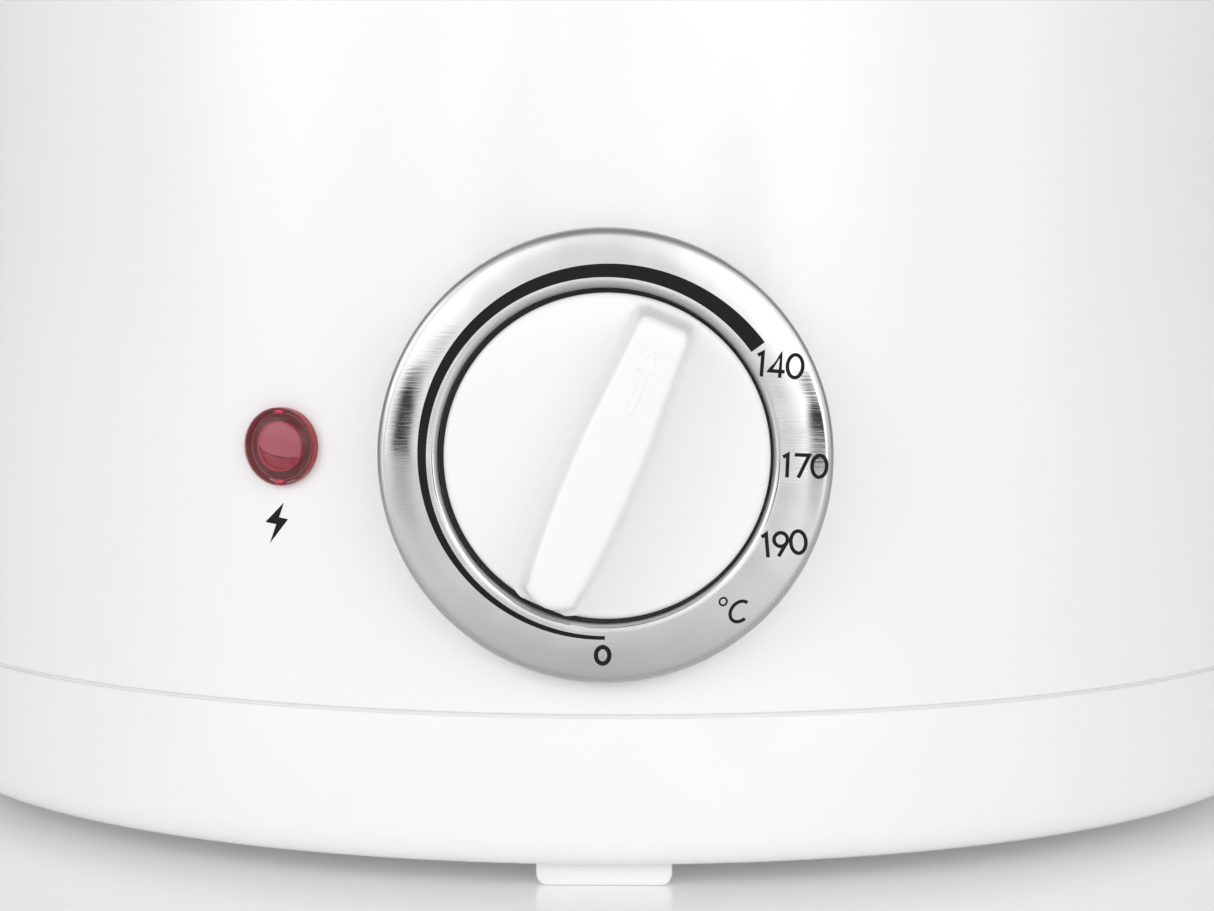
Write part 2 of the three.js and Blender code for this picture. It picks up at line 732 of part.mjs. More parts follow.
// The thumb slide that frees the fold, on the side that is uppermost in use.
function handleSlider() {
  const { y, z } = HANDLE_PIVOT;
  const under = z - 7.2 - GAP;
  const cap = raised(roundedOutline(13, 15, 3, 2), under - 2.2, under).translate(0, y + 60.5, 0);
  return join(cap, block([-2, y + 56, under - 1], [2, y + 64, under + 3.5]));
}

piece("basket_cup", basketCup(), STEEL);
piece("basket_rim", hoop(BASKET_R + 1, BASKET_RIM_Z, 1.8), STEEL);
piece("basket_foot_ring", hoop(54, BASKET_FLOOR_Z - 1.6 - GAP, 1.5), STEEL);
piece("handle_bracket", handleBracket(), STEEL);
piece("handle_pin", pin(HANDLE_PIVOT, PIN_EAR_X.outer + 0.8, HANDLE_PIN_R), STEEL);
piece("handle_fork", handleFork(), STEEL);
piece("grip_upper", gripHalf(-1), WHITE);
piece("grip_lower", gripHalf(1), WHITE);
piece("handle_slider", handleSlider(), GREY_PLASTIC);

// ---------- lid, drawn closed and then swung open about the hinge ----------

const lid = new THREE.Group();
lid.position.set(0, HINGE.y, HINGE.z);
lid.rotation.x = -LID_OPEN;
layout.add(lid);
const closed = new THREE.Group(); // holds what is drawn in closed coordinates
closed.position.set(0, -HINGE.y, -HINGE.z);
lid.add(closed);

const SKIRT_Z = DECK_Z + 0.9;
const LINER_TOP_Z = 190;

function filterBlock(grow, from, to) {
  const { y, width, depth } = FILTER;
  const x = width / 2 + grow;
  const half = depth / 2 + grow;
  return block([-x, y - half, from], [x, y + half, to]);
}

// The slots that let steam through the liner and the tray into the filter.
const fumeSlots = () =>
  [-1, 0, 1].map((i) => block([-34, FILTER.y + 9 * i - 2, 180], [34, FILTER.y + 9 * i + 2, 200]));

function lidShell() {
  const t = 2.4;
  const top = LID_TOP_Z;
  const dome = turned([
    [TOP_R, SKIRT_Z],
    [TOP_R - 0.2, 176],
    ...bend([TOP_R - 0.2, 176], [TOP_R - 2, 191], [97, 195.5], 3),
    [86, top],
    [0, top],
    [0, top - t],
    [85.5, top - t],
    [96, 193.2],
    ...bend([96, 193.2], [TOP_R - 4.5, 189.5], [TOP_R - 0.2 - t, 176], 2),
    [TOP_R - t, SKIRT_Z],
  ]);
  const knuckle = rod([-24.6, HINGE.y, HINGE.z], [24.6, HINGE.y, HINGE.z], 5, 16);
  const web = block([-24.6, 107.5, HINGE.z], [24.6, HINGE.y, HINGE.z + 5]);
  const inside = turned([[0, SKIRT_Z - 5], [TOP_R - t, SKIRT_Z - 5], [TOP_R - t, 176], [0, 176]]);
  const earRoom = [-1, 1].map((side) =>
    block(
      [Math.min(side * 24.6, side * 31.5), 112.9, 150],
      [Math.max(side * 24.6, side * 31.5), 130, 169],
    ),
  );
  return cut(
    join(dome, cut(join(knuckle, web), inside)),
    pinHole(HINGE, HINGE_PIN_R),
    rod([0, WINDOW.y, 150], [0, WINDOW.y, 220], WINDOW.r, 28),
    filterBlock(0, 150, 220),
    ...earRoom,
  );
}

// The pressed liner: a flange over the pot's rim and a shallow bowl above it.
function lidLiner() {
  const z = 166.3;
  const t = 1.2;
  const liner = turned([
    [TOP_R - 2.8, z],
    [TOP_R - 2.8, z + t],
    [88.2, z + t],
    ...bend([88.2, LINER_TOP_Z - 3], [88.2, LINER_TOP_Z + t], [83, LINER_TOP_Z + t], 2),
    [0, LINER_TOP_Z + t],
    [0, LINER_TOP_Z],
    [83, LINER_TOP_Z],
    [87, LINER_TOP_Z - 4],
    [87, z],
  ]);
  return cut(
    liner,
    rod([0, WINDOW.y, 180], [0, WINDOW.y, 200], WINDOW.r - 3.5, 28),
    ...fumeSlots(),
  );
}

function windowFrame() {
  const { y, r } = WINDOW;
  const ring = turned(
    [
      [r - 3.4, LINER_TOP_Z + 1.5],
      [r - GAP, LINER_TOP_Z + 1.5],
      [r - GAP, LID_TOP_Z + GAP],
      [r + 4, LID_TOP_Z + GAP],
      [r + 3, LID_TOP_Z + 2.2],
      [r - 1.6, LID_TOP_Z + 2.2],
      [r - 1.6, LID_TOP_Z - 2],
      [r - 3.4, LID_TOP_Z - 2],
    ],
    28,
  );
  return ring.translate(0, y, 0);
}

const glassZ = LID_TOP_Z - 1.7;
const windowGlass = rod([0, WINDOW.y, glassZ], [0, WINDOW.y, glassZ + 3.3], WINDOW.r - 1.9, 28);

const COVER_HINGE = { y: FILTER.y - 20.7, z: LID_TOP_Z + 4 };
const COVER_EAR_X = { inner: 18.8, outer: 21.5 };
const COVER_PIN_R = 1;

// The open-topped tray for the filter, with ears for the cover's pin.
function filterTray() {
  const floorZ = LINER_TOP_Z + 1.5;
  const { y, z } = COVER_HINGE;
  const tray = join(
    filterBlock(-GAP, floorZ, LID_TOP_Z + 0.5),
    filterBlock(4.5, LID_TOP_Z + GAP, LID_TOP_Z + 1.3),
    ...ears(COVER_EAR_X, y, z, 2, LID_TOP_Z + 0.5),
  );
  return cut(
    tray,
    filterBlock(-1.7, floorZ + 1.2, 220),
    ...fumeSlots(),
    pinHole(COVER_HINGE, COVER_PIN_R),
  );
}

// The slotted cover over the filter, with a knuckle along its front edge.
function filterCover() {
  const { y, width, depth } = FILTER;
  const bottom = LID_TOP_Z + 1.3 + GAP;
  const outline = roundedOutline(width + 7, depth + 7, 4, 3);
  const plate = raised(outline, bottom, bottom + 3).translate(0, y, 0);
  const hinge = COVER_HINGE;
  const knuckle = rod([-18.4, hinge.y, hinge.z], [18.4, hinge.y, hinge.z], 2.3, 14);
  const slots = [-1, 0, 1].map((i) => block([-36, y + 9 * i - 1.8, 190], [36, y + 9 * i + 1.8, 220]));
  const earRoom = [-1, 1].map((side) => {
    const x = side * 20.15;
    return block([x - 1.7, hinge.y - 5, 190], [x + 1.7, hinge.y + 2.6, 220]);
  });
  return cut(join(plate, knuckle), pinHole(hinge, COVER_PIN_R), ...slots, ...earRoom);
}

// The tongue that drops through the deck into the latch button's frame.
function lidCatch() {
  const plate = block([-9, -107.2, 144], [9, -105.3, 166]);
  return cut(plate, block([-5, -110, 148], [5, -100, 153]));
}

piece("lid_shell", lidShell(), WHITE, closed);
piece("lid_liner", lidLiner(), ALUMINIUM, closed);
piece("lid_seal", turned([[89.5, 162.1], [96.5, 162.1], [97, 166], [89, 166]]), SILICONE, closed);
piece("window_frame", windowFrame(), GREY_PLASTIC, closed);
piece("window_glass", windowGlass, GLASS, closed);
piece("filter_tray", filterTray(), GREY_PLASTIC, closed);
piece("filter_pad", filterBlock(-2.1, LINER_TOP_Z + 3, LID_TOP_Z), CHARCOAL, closed);
piece("filter_cover", filterCover(), GREY_PLASTIC, closed);
piece("filter_cover_pin", pin(COVER_HINGE, COVER_EAR_X.outer, COVER_PIN_R), STEEL, closed);
piece("lid_catch", lidCatch(), STEEL, closed);

// ---------- centre the footprint on the origin ----------

const footprint = new THREE.Box3().setFromObject(fryer).getCenter(new THREE.Vector3());
layout.position.set(-footprint.x, -footprint.y, 0);

export default fryer;
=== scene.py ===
"""Looks for the deep fryer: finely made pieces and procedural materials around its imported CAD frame.

Shapes are drawn in millimetres round the pot's axis, with the lid closed, and then placed in the
row's frame, which is in metres with the lid open.
"""

import json
import math

import bmesh
import bpy
from mathutils import Matrix, Vector


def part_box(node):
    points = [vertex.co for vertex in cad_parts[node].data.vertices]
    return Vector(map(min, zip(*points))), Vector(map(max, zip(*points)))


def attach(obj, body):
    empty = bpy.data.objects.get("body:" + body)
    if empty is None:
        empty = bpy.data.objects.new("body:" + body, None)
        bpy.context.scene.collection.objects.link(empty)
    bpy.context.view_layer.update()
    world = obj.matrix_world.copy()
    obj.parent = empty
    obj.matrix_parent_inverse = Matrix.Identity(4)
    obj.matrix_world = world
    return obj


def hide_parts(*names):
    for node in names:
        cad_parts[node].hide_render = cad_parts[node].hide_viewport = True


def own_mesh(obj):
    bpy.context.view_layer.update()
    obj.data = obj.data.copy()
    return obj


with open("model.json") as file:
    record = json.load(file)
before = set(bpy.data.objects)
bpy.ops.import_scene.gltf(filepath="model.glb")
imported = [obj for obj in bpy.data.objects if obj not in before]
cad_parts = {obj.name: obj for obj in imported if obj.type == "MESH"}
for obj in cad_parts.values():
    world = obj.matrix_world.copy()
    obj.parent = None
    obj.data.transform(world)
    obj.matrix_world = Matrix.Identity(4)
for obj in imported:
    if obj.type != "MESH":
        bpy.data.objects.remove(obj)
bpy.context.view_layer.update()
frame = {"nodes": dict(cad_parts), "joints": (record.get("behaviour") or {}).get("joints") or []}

# ---------- dimensions, in millimetres ----------

BODY_R = 116.4
TOP_R = 112.4
WALL = 2.6
BASE_Z = 3.4
SEAM_LOW, SEAM_HIGH = 24.65, 25.1
SHOULDER_Z = 151.5
DECK_Z = 155.0

DIAL_Z = 61.2
DIAL_Y = -116.9
KNOB_X, KNOB_Z = 0.22, 61.25  # the knob sits a little loose in its ring
KNOB_TURN = math.radians(22.9)
DIAL_LEAN = math.atan((BODY_R - TOP_R) / (SHOULDER_Z - SEAM_HIGH))  # the ring lies along the wall
BEZEL_R = 31.2
BEZEL_FLAT_R = 25.0  # the crowned face falls away outside this
BEZEL_HOLE_R = 22.85
KNOB_R = 22.3
KNOB_GAP = 0.05  # kept between the bar's tail and the knob's edge
GRIP_HALF, GRIP_REACH = 5.4, 21.0
# the black ring in the gap round the knob is painted shade
SHADE_RING_R, SHADE_RING_THICK = 20.4, 0.1
INK = 0.04

LAMP_AZIMUTH = math.radians(-23.15)
LAMP_Z = 61.5
LAMP_R = 5.5
LAMP_RIM_R, LAMP_CUP_R, LAMP_GUIDE_R = 5.24, 5.22, 3.5

LID_TOP = 198.0
LINER_TOP = 190.0
WINDOW_Y, WINDOW_R = -38.0, 40.0
FILTER_Y, FILTER_WIDTH, FILTER_DEPTH = 44.0, 92.0, 34.0
LATCH_Z, LATCH_WIDTH, LATCH_HEIGHT = 143.75, 27.0, 7.5
SPRING_FRONT, SPRING_SEAT = -100.2, -93.4
SPRING_R, SPRING_WIRE, SPRING_TURNS = 2.8, 0.42, 4.5
GRIP_PIVOT = Vector((0, -79, 166))
FOOT_HALF, FOOT_RIM_R = 9.6, 111.3
GLAND_Z = 38.0

FINE = 192  # facets round the big turned pieces
MEDIUM = 96
SMALL = 48

# ---------- the two drawing frames ----------

joints = {j["name"]: j for j in frame["joints"]}
low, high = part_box("pot")
TO_ROW = Matrix.Translation((0, (low.y + high.y) / 2, 0)) @ Matrix.Scale(0.001, 4)
hinge_row = Vector(joints["lid_hinge"]["pos_m"])
HINGE = TO_ROW.inverted() @ hinge_row
LID_OPEN = math.radians(joints["lid_hinge"]["range_deg"][0])
LID_TO_ROW = (
    TO_ROW
    @ Matrix.Translation(HINGE)
    @ Matrix.Rotation(LID_OPEN, 4, "X")
    @ Matrix.Translation(-HINGE)
)
FACING_FRONT = Matrix.Rotation(math.pi / 2, 4, "X")  # what points up then points to the front


def wall_r(z):
    """Radius of the housing's outside at a height."""
    slope = (TOP_R - BODY_R) / (SHOULDER_Z - SEAM_HIGH)
    return BODY_R + slope * (z - SEAM_HIGH) if z > SEAM_HIGH else BODY_R


def at_azimuth(angle):
    """Turns what is drawn at the front to its place round the body, positive towards +X."""
    return Matrix.Rotation(angle, 4, "Z")


# ---------- outlines ----------


def bezier(a, corner, b, steps=10):
    """Points from a to b on a curve that bends round a corner, without a itself."""
    points = []
    for i in range(1, steps + 1):
        t = i / steps
        s = 1 - t
        points.append(tuple(s * s * p + 2 * s * t * q + t * t * r for p, q, r in zip(a, corner, b)))
    return points


def rounded(corners, steps=4):
    """A closed outline from (x, y) or (x, y, radius) corners, with each radius as a real arc."""
    outline = []
    count = len(corners)
    for i, corner in enumerate(corners):
        here = Vector(corner[:2])
        radius = corner[2] if len(corner) > 2 else 0
        if not radius:
            outline.append(tuple(here))
            continue
        before = (Vector(corners[i - 1][:2]) - here).normalized()
        after = (Vector(corners[(i + 1) % count][:2]) - here).normalized()
        half = before.angle(after) / 2
        start = here + before * (radius / math.tan(half))
        end = here + after * (radius / math.tan(half))
        centre = here + (before + after).normalized() * (radius / math.sin(half))
        for k in range(steps + 1):
            chord = start.lerp(end, k / steps) - centre
            outline.append(tuple(centre + chord.normalized() * radius))
    return outline


def rounded_box(width, depth, radius, steps=5):
    """A rounded rectangle round the origin."""
    x, y = width / 2, depth / 2
    return rounded([(-x, -y, radius), (x, -y, radius), (x, y, radius), (-x, y, radius)], steps)


def inset(outline, amount):
    """An outline moved inwards, or outwards where the amount is negative."""
    shifted = []
    count = len(outline)
    for i in range(count):
        a, b, c = (Vector(outline[(i + k) % count]) for k in (-1, 0, 1))
        first, second = (b - a).normalized(), (c - b).normalized()
        normal = Vector((-first.y - second.y, first.x + second.x)).normalized()
        share = max(0.5, normal.dot(Vector((-first.y, first.x))))
        shifted.append(tuple(b + normal * (amount / share)))
    return shifted


# ---------- meshes ----------


def shape(verts, faces):
    """A mesh from plain lists, with its faces turned outwards."""
    mesh = bpy.data.meshes.new("shape")
    mesh.from_pydata([tuple(v) for v in verts], [], faces)
    made = bmesh.new()
    made.from_mesh(mesh)
    bmesh.ops.remove_doubles(made, verts=made.verts, dist=1e-5)
    bmesh.ops.recalc_face_normals(made, faces=made.faces)
    made.to_mesh(mesh)
    made.free()
    return mesh


def merged(meshes):
    """Several meshes as one."""
    made = bmesh.new()
    for mesh in meshes:
        made.from_mesh(mesh)
    joined = bpy.data.meshes.new("shape")
    made.to_mesh(joined)
    made.free()
    return joined


def moved(mesh, matrix):
    mesh.transform(matrix)
    return mesh


def polar(radius, angle, z):
    """A point round the axis, its angle measured from the front."""
    return radius * math.sin(angle), -radius * math.cos(angle), z


def lathe(profile, facets=FINE):
    """A solid of revolution about Z from a closed (radius, height) outline."""
    verts, rings = [], []
    for r, z in profile:
        if abs(r) < 1e-6:
            rings.append([len(verts)] * facets)
            verts.append((0, 0, z))
            continue
        rings.append(list(range(len(verts), len(verts) + facets)))
        for i in range(facets):
            verts.append(polar(r, 2 * math.pi * i / facets, z))
    faces = []
    for ring, following in zip(rings, rings[1:] + rings[:1]):
        for i in range(facets):
            k = (i + 1) % facets
            corners = [ring[i], ring[k], following[k], following[i]]
            face = [v for n, v in enumerate(corners) if v != corners[n - 1]]
            if len(face) > 2:
                faces.append(face)
    return shape(verts, faces)


def bands(count, rings):
    """The faces between neighbouring rings of count points each."""
    faces = []
    for ring in range(rings - 1):
        near, far = ring * count, (ring + 1) * count
        for i in range(count):
            k = (i + 1) % count
            faces.append([near + i, near + k, far + k, far + i])
    return faces


def layered(verts, count):
    """A closed solid through rings of count points each, from the bottom up."""
    last = len(verts) - count
    caps = [list(range(count))[::-1], [last + i for i in range(count)]]
    return shape(verts, bands(count, len(verts) // count) + caps)


def stack(outline, layers):
    """A closed solid of one outline repeated at (height, inset) layers from the bottom up."""
    verts = [(x, y, height) for height, amount in layers for x, y in inset(outline, amount)]
    return layered(verts, len(outline))


def soft_layers(bottom, top, radius, steps=4):
    """Layers for stack() with both rims rounded over."""
    angles = [math.pi / 2 * i / steps for i in range(steps + 1)]
    turn = [(radius * (1 - math.sin(a)), radius * (1 - math.cos(a))) for a in angles]
    lower = [(bottom + dz, dr) for dr, dz in turn]
    upper = [(top - dz, dr) for dr, dz in reversed(turn)]
    return lower + upper


def block(lo, hi, radius=0.0):
    """A box from corner to corner, its upright edges and rims rounded."""
    width, depth = hi[0] - lo[0], hi[1] - lo[1]
    outline = rounded_box(width, depth, radius)
    layers = soft_layers(lo[2], hi[2], radius * 0.7) if radius else [(lo[2], 0), (hi[2], 0)]
    centre = ((lo[0] + hi[0]) / 2, (lo[1] + hi[1]) / 2, 0)
    return moved(stack(outline, layers), Matrix.Translation(centre))


def tube(points, radius, sides=8, closed=False):
    """Round wire through points, with flat ends or joined into a loop."""
    points = [Vector(p) for p in points]
    count = len(points)
    verts, faces = [], []
    side = None
    for i, p in enumerate(points):
        back = points[i - 1] if i or closed else p
        ahead = points[(i + 1) % count] if i + 1 < count or closed else p
        along = (ahead - back).normalized()
        if side is None:
            side = along.orthogonal().normalized()
        side = (side - along * side.dot(along)).normalized()
        other = along.cross(side)
        for k in range(sides):
            a = 2 * math.pi * k / sides
            verts.append(p + side * (radius * math.cos(a)) + other * (radius * math.sin(a)))
    for i in range(count if closed else count - 1):
        a, b = i * sides, ((i + 1) % count) * sides
        for k in range(sides):
            m = (k + 1) % sides
            faces.append([a + k, a + m, b + m, b + k])
    if not closed:
        faces.append(list(range(sides))[::-1])
        faces.append([(count - 1) * sides + k for k in range(sides)])
    mesh = bpy.data.meshes.new("shape")
    mesh.from_pydata([tuple(v) for v in verts], [], faces)
    return mesh


def ring_points(radius, z, count=MEDIUM):
    return [polar(radius, 2 * math.pi * i / count, z) for i in range(count)]


def rod(a, b, radius, facets=SMALL):
    """A round bar between two points."""
    a, b = Vector(a), Vector(b)
    length = (b - a).length
    bar = lathe([(0, 0), (radius, 0), (radius, length), (0, length)], facets)
    turn = (b - a).to_track_quat("Z", "Y").to_matrix().to_4x4()
    return moved(bar, Matrix.Translation(a) @ turn)


def worked(mesh, *steps):
    """A mesh after boolean steps, each ("UNION" or "DIFFERENCE" or "INTERSECT", other mesh)."""
    scene = bpy.context.scene
    target = bpy.data.objects.new("target", mesh)
    scene.collection.objects.link(target)
    tools = []
    for operation, other in steps:
        tool = bpy.data.objects.new("tool", other)
        scene.collection.objects.link(tool)
        tools.append(tool)
        modifier = target.modifiers.new("boolean", "BOOLEAN")
        modifier.operation, modifier.object, modifier.solver = operation, tool, "EXACT"
    graph = bpy.context.evaluated_depsgraph_get()
    made = bpy.data.meshes.new_from_object(target.evaluated_get(graph))
    for spent in [target, *tools]:
        bpy.data.objects.remove(spent)
    return made


def cut(mesh, *tools, added=()):
    """A mesh with the added ones joined on first and the tools then taken out."""
    joins = [("UNION", other) for other in added]
    return worked(mesh, *joins, *(("DIFFERENCE", tool) for tool in tools))


def piece(name, mesh, material, body, slot, replaced=(), place=TO_ROW, smooth=32):
    """One visible piece in its place, riding on its body and standing for its CAD nodes."""
    mesh.transform(place)
    mesh.name = name
    mesh.shade_smooth()
    mesh.set_sharp_from_angle(angle=math.radians(smooth))
    mesh.materials.clear()
    mesh.materials.append(material)
    made = bpy.data.objects.new(name, mesh)
    bpy.context.scene.collection.objects.link(made)
    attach(made, body)
    if replaced:
        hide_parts(*replaced)
    return made


def finer(node, mesh, material, body, slot, place=TO_ROW):
    """A piece that stands for one CAD node and is named after it."""
    return piece(node + "_fine", mesh, material, body, slot, [node], place)


# ---------- materials ----------


def material(name, color, roughness, metallic=0.0, **sockets):
    """A principled material. Extra sockets are given by name with _ for a space."""
    made = bpy.data.materials.new(name)
    made.use_nodes = True
    shader = made.node_tree.nodes["Principled BSDF"]
    shader.inputs["Base Color"].default_value = (*color, 1)
    shader.inputs["Roughness"].default_value = roughness
    shader.inputs["Metallic"].default_value = metallic
    for socket, value in sockets.items():
        shader.inputs[socket.replace("_", " ")].default_value = value
    return made


class Nodes:
    """Short ways to add nodes to a material."""

    def __init__(self, target):
        self.tree = target.node_tree
        self.shader = self.tree.nodes["Principled BSDF"]
        self.place = self.add("ShaderNodeTexCoord").outputs["Object"]

    def add(self, kind, **settings):
        node = self.tree.nodes.new(kind)
        for name, value in settings.items():
            setattr(node, name, value)
        return node

    def link(self, out, into):
        self.tree.links.new(out, into)

    def noise(self, scale, detail=3.0, roughness=0.5, stretch=(1, 1, 1)):
        mapping = self.add("ShaderNodeMapping")
        mapping.inputs["Scale"].default_value = stretch
        self.link(self.place, mapping.inputs["Vector"])
        noise = self.add("ShaderNodeTexNoise")
        noise.inputs["Scale"].default_value = scale
        noise.inputs["Detail"].default_value = detail
        noise.inputs["Roughness"].default_value = roughness
        self.link(mapping.outputs["Vector"], noise.inputs["Vector"])
        return noise.outputs["Fac"]

    def between(self, value, low, high):
        """The middle of a noise's range, 0.3 to 0.7, as numbers from low to high."""
        ramp = self.add("ShaderNodeMapRange")
        for socket, number in zip(ramp.inputs[1:5], (0.3, 0.7, low, high)):
            socket.default_value = number
        self.link(value, ramp.inputs["Value"])
        return ramp.outputs["Result"]

    def tint(self, value, low, high):
        """Base colour from low to high as the value rises."""
        mix = self.add("ShaderNodeMix", data_type="RGBA")
        mix.inputs["A"].default_value = (*low, 1)
        mix.inputs["B"].default_value = (*high, 1)
        self.link(self.between(value, 0, 1), mix.inputs["Factor"])
        self.link(mix.outputs["Result"], self.shader.inputs["Base Color"])

    def rough(self, value, low, high):
        self.link(self.between(value, low, high), self.shader.inputs["Roughness"])

    def bump(self, value, depth):
        """A relief of that depth in metres, on top of any before it."""
        bump = self.add("ShaderNodeBump")
        bump.inputs["Distance"].default_value = depth
        self.link(value, bump.inputs["Height"])
        for earlier in [link.from_socket for link in self.shader.inputs["Normal"].links]:
            self.link(earlier, bump.inputs["Normal"])
        self.link(bump.outputs["Normal"], self.shader.inputs["Normal"])


def moulded(name, color, gloss, ripple=0.00001, grain=900.0, **sockets):
    """Injection-moulded plastic: faint flow ripples, a little uneven gloss and tone."""
    made = material(name, color, gloss, **sockets)
    nodes = Nodes(made)
    nodes.tint(nodes.noise(14), tuple(0.988 * c for c in color), color)
    nodes.rough(nodes.noise(60, 4), gloss * 0.94, gloss * 1.06)
    nodes.bump(nodes.noise(grain, 2), ripple)
    return made


def metal(name, color, gloss, stretch=(1, 1, 1), scale=400.0, ripple=0.000004, waves=0.0):
    """Bare metal with rolling or polishing marks that run one way, and a pressed sheet's slow waves."""
    made = material(name, color, gloss, 1.0)
    nodes = Nodes(made)
    marks = nodes.noise(scale, 4, 0.6, stretch)
    nodes.tint(nodes.noise(40), tuple(0.94 * c for c in color), color)
    nodes.rough(marks, gloss * 0.75, gloss * 1.3)
    nodes.bump(nodes.noise(120, 1), waves)
    nodes.bump(marks, ripple)
    return made


WHITE = moulded("white_gloss_plastic", (0.9, 0.9, 0.895), 0.16, ripple=0.000004, grain=500)
FOOT_WHITE = moulded("foot_plastic", (0.9, 0.9, 0.9), 0.3)
KNOB_WHITE = moulded("knob_plastic", (0.91, 0.91, 0.905), 0.3, ripple=0.000006)
GREY = moulded("grey_satin_plastic", (0.42, 0.43, 0.44), 0.42, ripple=0.00003)
BLACK = moulded("black_heatproof_plastic", (0.02, 0.02, 0.021), 0.45, ripple=0.00003)
PRINT = moulded(
    "black_print", (0.012, 0.012, 0.012), 0.6, ripple=0.00002, grain=6000, Specular_IOR_Level=0.12
)
BEZEL = metal(
    "polished_bezel_steel", (0.53, 0.53, 0.53), 0.08,
    stretch=(1, 1, 14), scale=250, ripple=0.000006, waves=0.00016,
)
# The turned-down edge: a rougher satin steel, and a slightly darker tone that is painted shade for its dark
# outline.
BEZEL_EDGE = metal("satin_bezel_edge_with_painted_shade", (0.5, 0.5, 0.5), 0.3, scale=250)
CHROME = metal("bright_steel_wire", (0.72, 0.72, 0.71), 0.14)
BRUSHED = metal(
    "brushed_sheet_steel", (0.5, 0.51, 0.52), 0.34, stretch=(1, 1, 30), scale=160, ripple=0.00001
)
ALUMINIUM = metal("spun_aluminium", (0.66, 0.67, 0.68), 0.36, stretch=(1, 1, 24), scale=200, ripple=0.00001)
COPPER = metal("copper_tube", (0.75, 0.36, 0.2), 0.3)
NON_STICK = moulded("non_stick_coat", (0.028, 0.028, 0.03), 0.38, ripple=0.00006, grain=1600)
SILICONE = moulded("grey_silicone", (0.36, 0.37, 0.38), 0.62, ripple=0.00002)
CHARCOAL = moulded("charcoal_mat", (0.02, 0.02, 0.022), 0.95, ripple=0.0006, grain=500)
BROWN = moulded("brown_lead", (0.16, 0.05, 0.02), 0.45)
BLUE = moulded("blue_lead", (0.02, 0.08, 0.3), 0.45)
LENS = moulded("red_lens", (0.2, 0.03, 0.035), 0.04, ripple=0.00001, Alpha=0.25, IOR=1.75)
LENS_EDGE = moulded("red_lens_edge", (0.36, 0.012, 0.022), 0.12, ripple=0.00002)
# painted highlight: a bright red on the lamp's bead ring, facets and snap lugs
LENS_PAINTED_GLINT = moulded("red_lens_painted_glint", (0.9, 0.06, 0.14), 0.15, ripple=0.00002)
LENS_CORE = moulded("red_lens_core", (0.5, 0.02, 0.05), 0.3, ripple=0.0002, grain=700)
# painted light: a lighter red for the lamp's lit upper part and a thin light line round its rim
LENS_PAINTED_LIGHT = moulded("red_lens_painted_light", (0.85, 0.2, 0.26), 0.3, ripple=0.0003, grain=500)
LENS_CUP = moulded("red_lens_cup", (0.11, 0.025, 0.022), 0.3)
GLASS = material("window_glass", (0.9, 0.94, 0.94), 0.03, Transmission_Weight=1.0, IOR=1.5)
FLOOR = material("floor", (0.9, 0.9, 0.9), 0.2, Emission_Color=(1, 1, 1, 1), Emission_Strength=0.08)


# ---------- housing ----------


def base_pan():
    lip, land = BODY_R - WALL - 0.3, BODY_R - 0.65
    outline = [
        (0, BASE_Z),
        (112.4, BASE_Z),
        *bezier((112.4, BASE_Z), (115.5, BASE_Z), (116.1, 7.8)),
        *rounded([(BODY_R, 14), (BODY_R, SEAM_LOW, 0.3), (land, SEAM_LOW), (land, SEAM_HIGH - 0.04)]),
        (lip, SEAM_HIGH - 0.04),
        (lip, SEAM_HIGH + 3.5),
        (lip - 2, SEAM_HIGH + 3.5),
        (lip - 2, 9),
        (110.5, 5.4),
        (0, 5.4),
    ]
    vents = [block((12 * i - 2, -22, 0), (12 * i + 2, 22, 9)) for i in range(-2, 3)]
    wells = [
        moved(rod((0, -76, 0), (0, -76, 30), 3.8), at_azimuth(math.radians(a))) for a in (70, 180, 290)
    ]
    return cut(lathe(outline), *vents, *wells)


def foot():
    """A moulded foot whose front face follows the rim."""
    outline = rounded([
        (-FOOT_HALF, BASE_Z), (-FOOT_HALF, 0, 1.7), (FOOT_HALF, 0, 1.7), (FOOT_HALF, BASE_Z),
    ], 6)
    verts = []
    for smaller, behind in ((0.35, 0), (0.1, 0.12), (0, 0.4)):
        trimmed = [(x * (1 - smaller / FOOT_HALF), max(z, smaller)) for x, z in outline]
        verts += [(x, behind - math.sqrt(FOOT_RIM_R**2 - x * x), z) for x, z in trimmed]
    verts += [(x, -98.6, z) for x, z in outline]
    count = len(outline)
    caps = [list(range(count)), list(range(3 * count, 4 * count))]
    return shape(verts, caps + bands(count, 4))


def outer_shell():
    outline = rounded([
        (BODY_R, SEAM_HIGH, 0.35),
        (TOP_R, DECK_Z, 3.6),
        (99.5, DECK_Z, 0.5),
        (99.5, DECK_Z - WALL),
        (TOP_R - WALL, DECK_Z - WALL, 2),
        (BODY_R - WALL, SEAM_HIGH),
    ], 8)
    boss = moved(rod((0, 0, -7), (0, 0, 0), 30.3, MEDIUM), DIAL)
    lamp = moved(rod((0, -125, LAMP_Z), (0, -100, LAMP_Z), LAMP_R - 0.5), at_azimuth(LAMP_AZIMUTH))
    gland = rod((0, 100, GLAND_Z), (0, 125, GLAND_Z), 7.0)
    opening = rounded_box(LATCH_WIDTH + 1, LATCH_HEIGHT + 1, 1.4)
    button = moved(stack(opening, [(103, 0), (125, 0)]), LATCH_FACE)
    slot = block((-10.5, -109.6, 146), (10.5, -104.3, 160))
    shaft = rod((0, -125, DIAL_Z), (0, -100, DIAL_Z), 4.2)
    return cut(lathe(outline), lamp, gland, button, slot, shaft, added=[boss])


LATCH_FACE = Matrix.Translation((0, 0, LATCH_Z)) @ FACING_FRONT


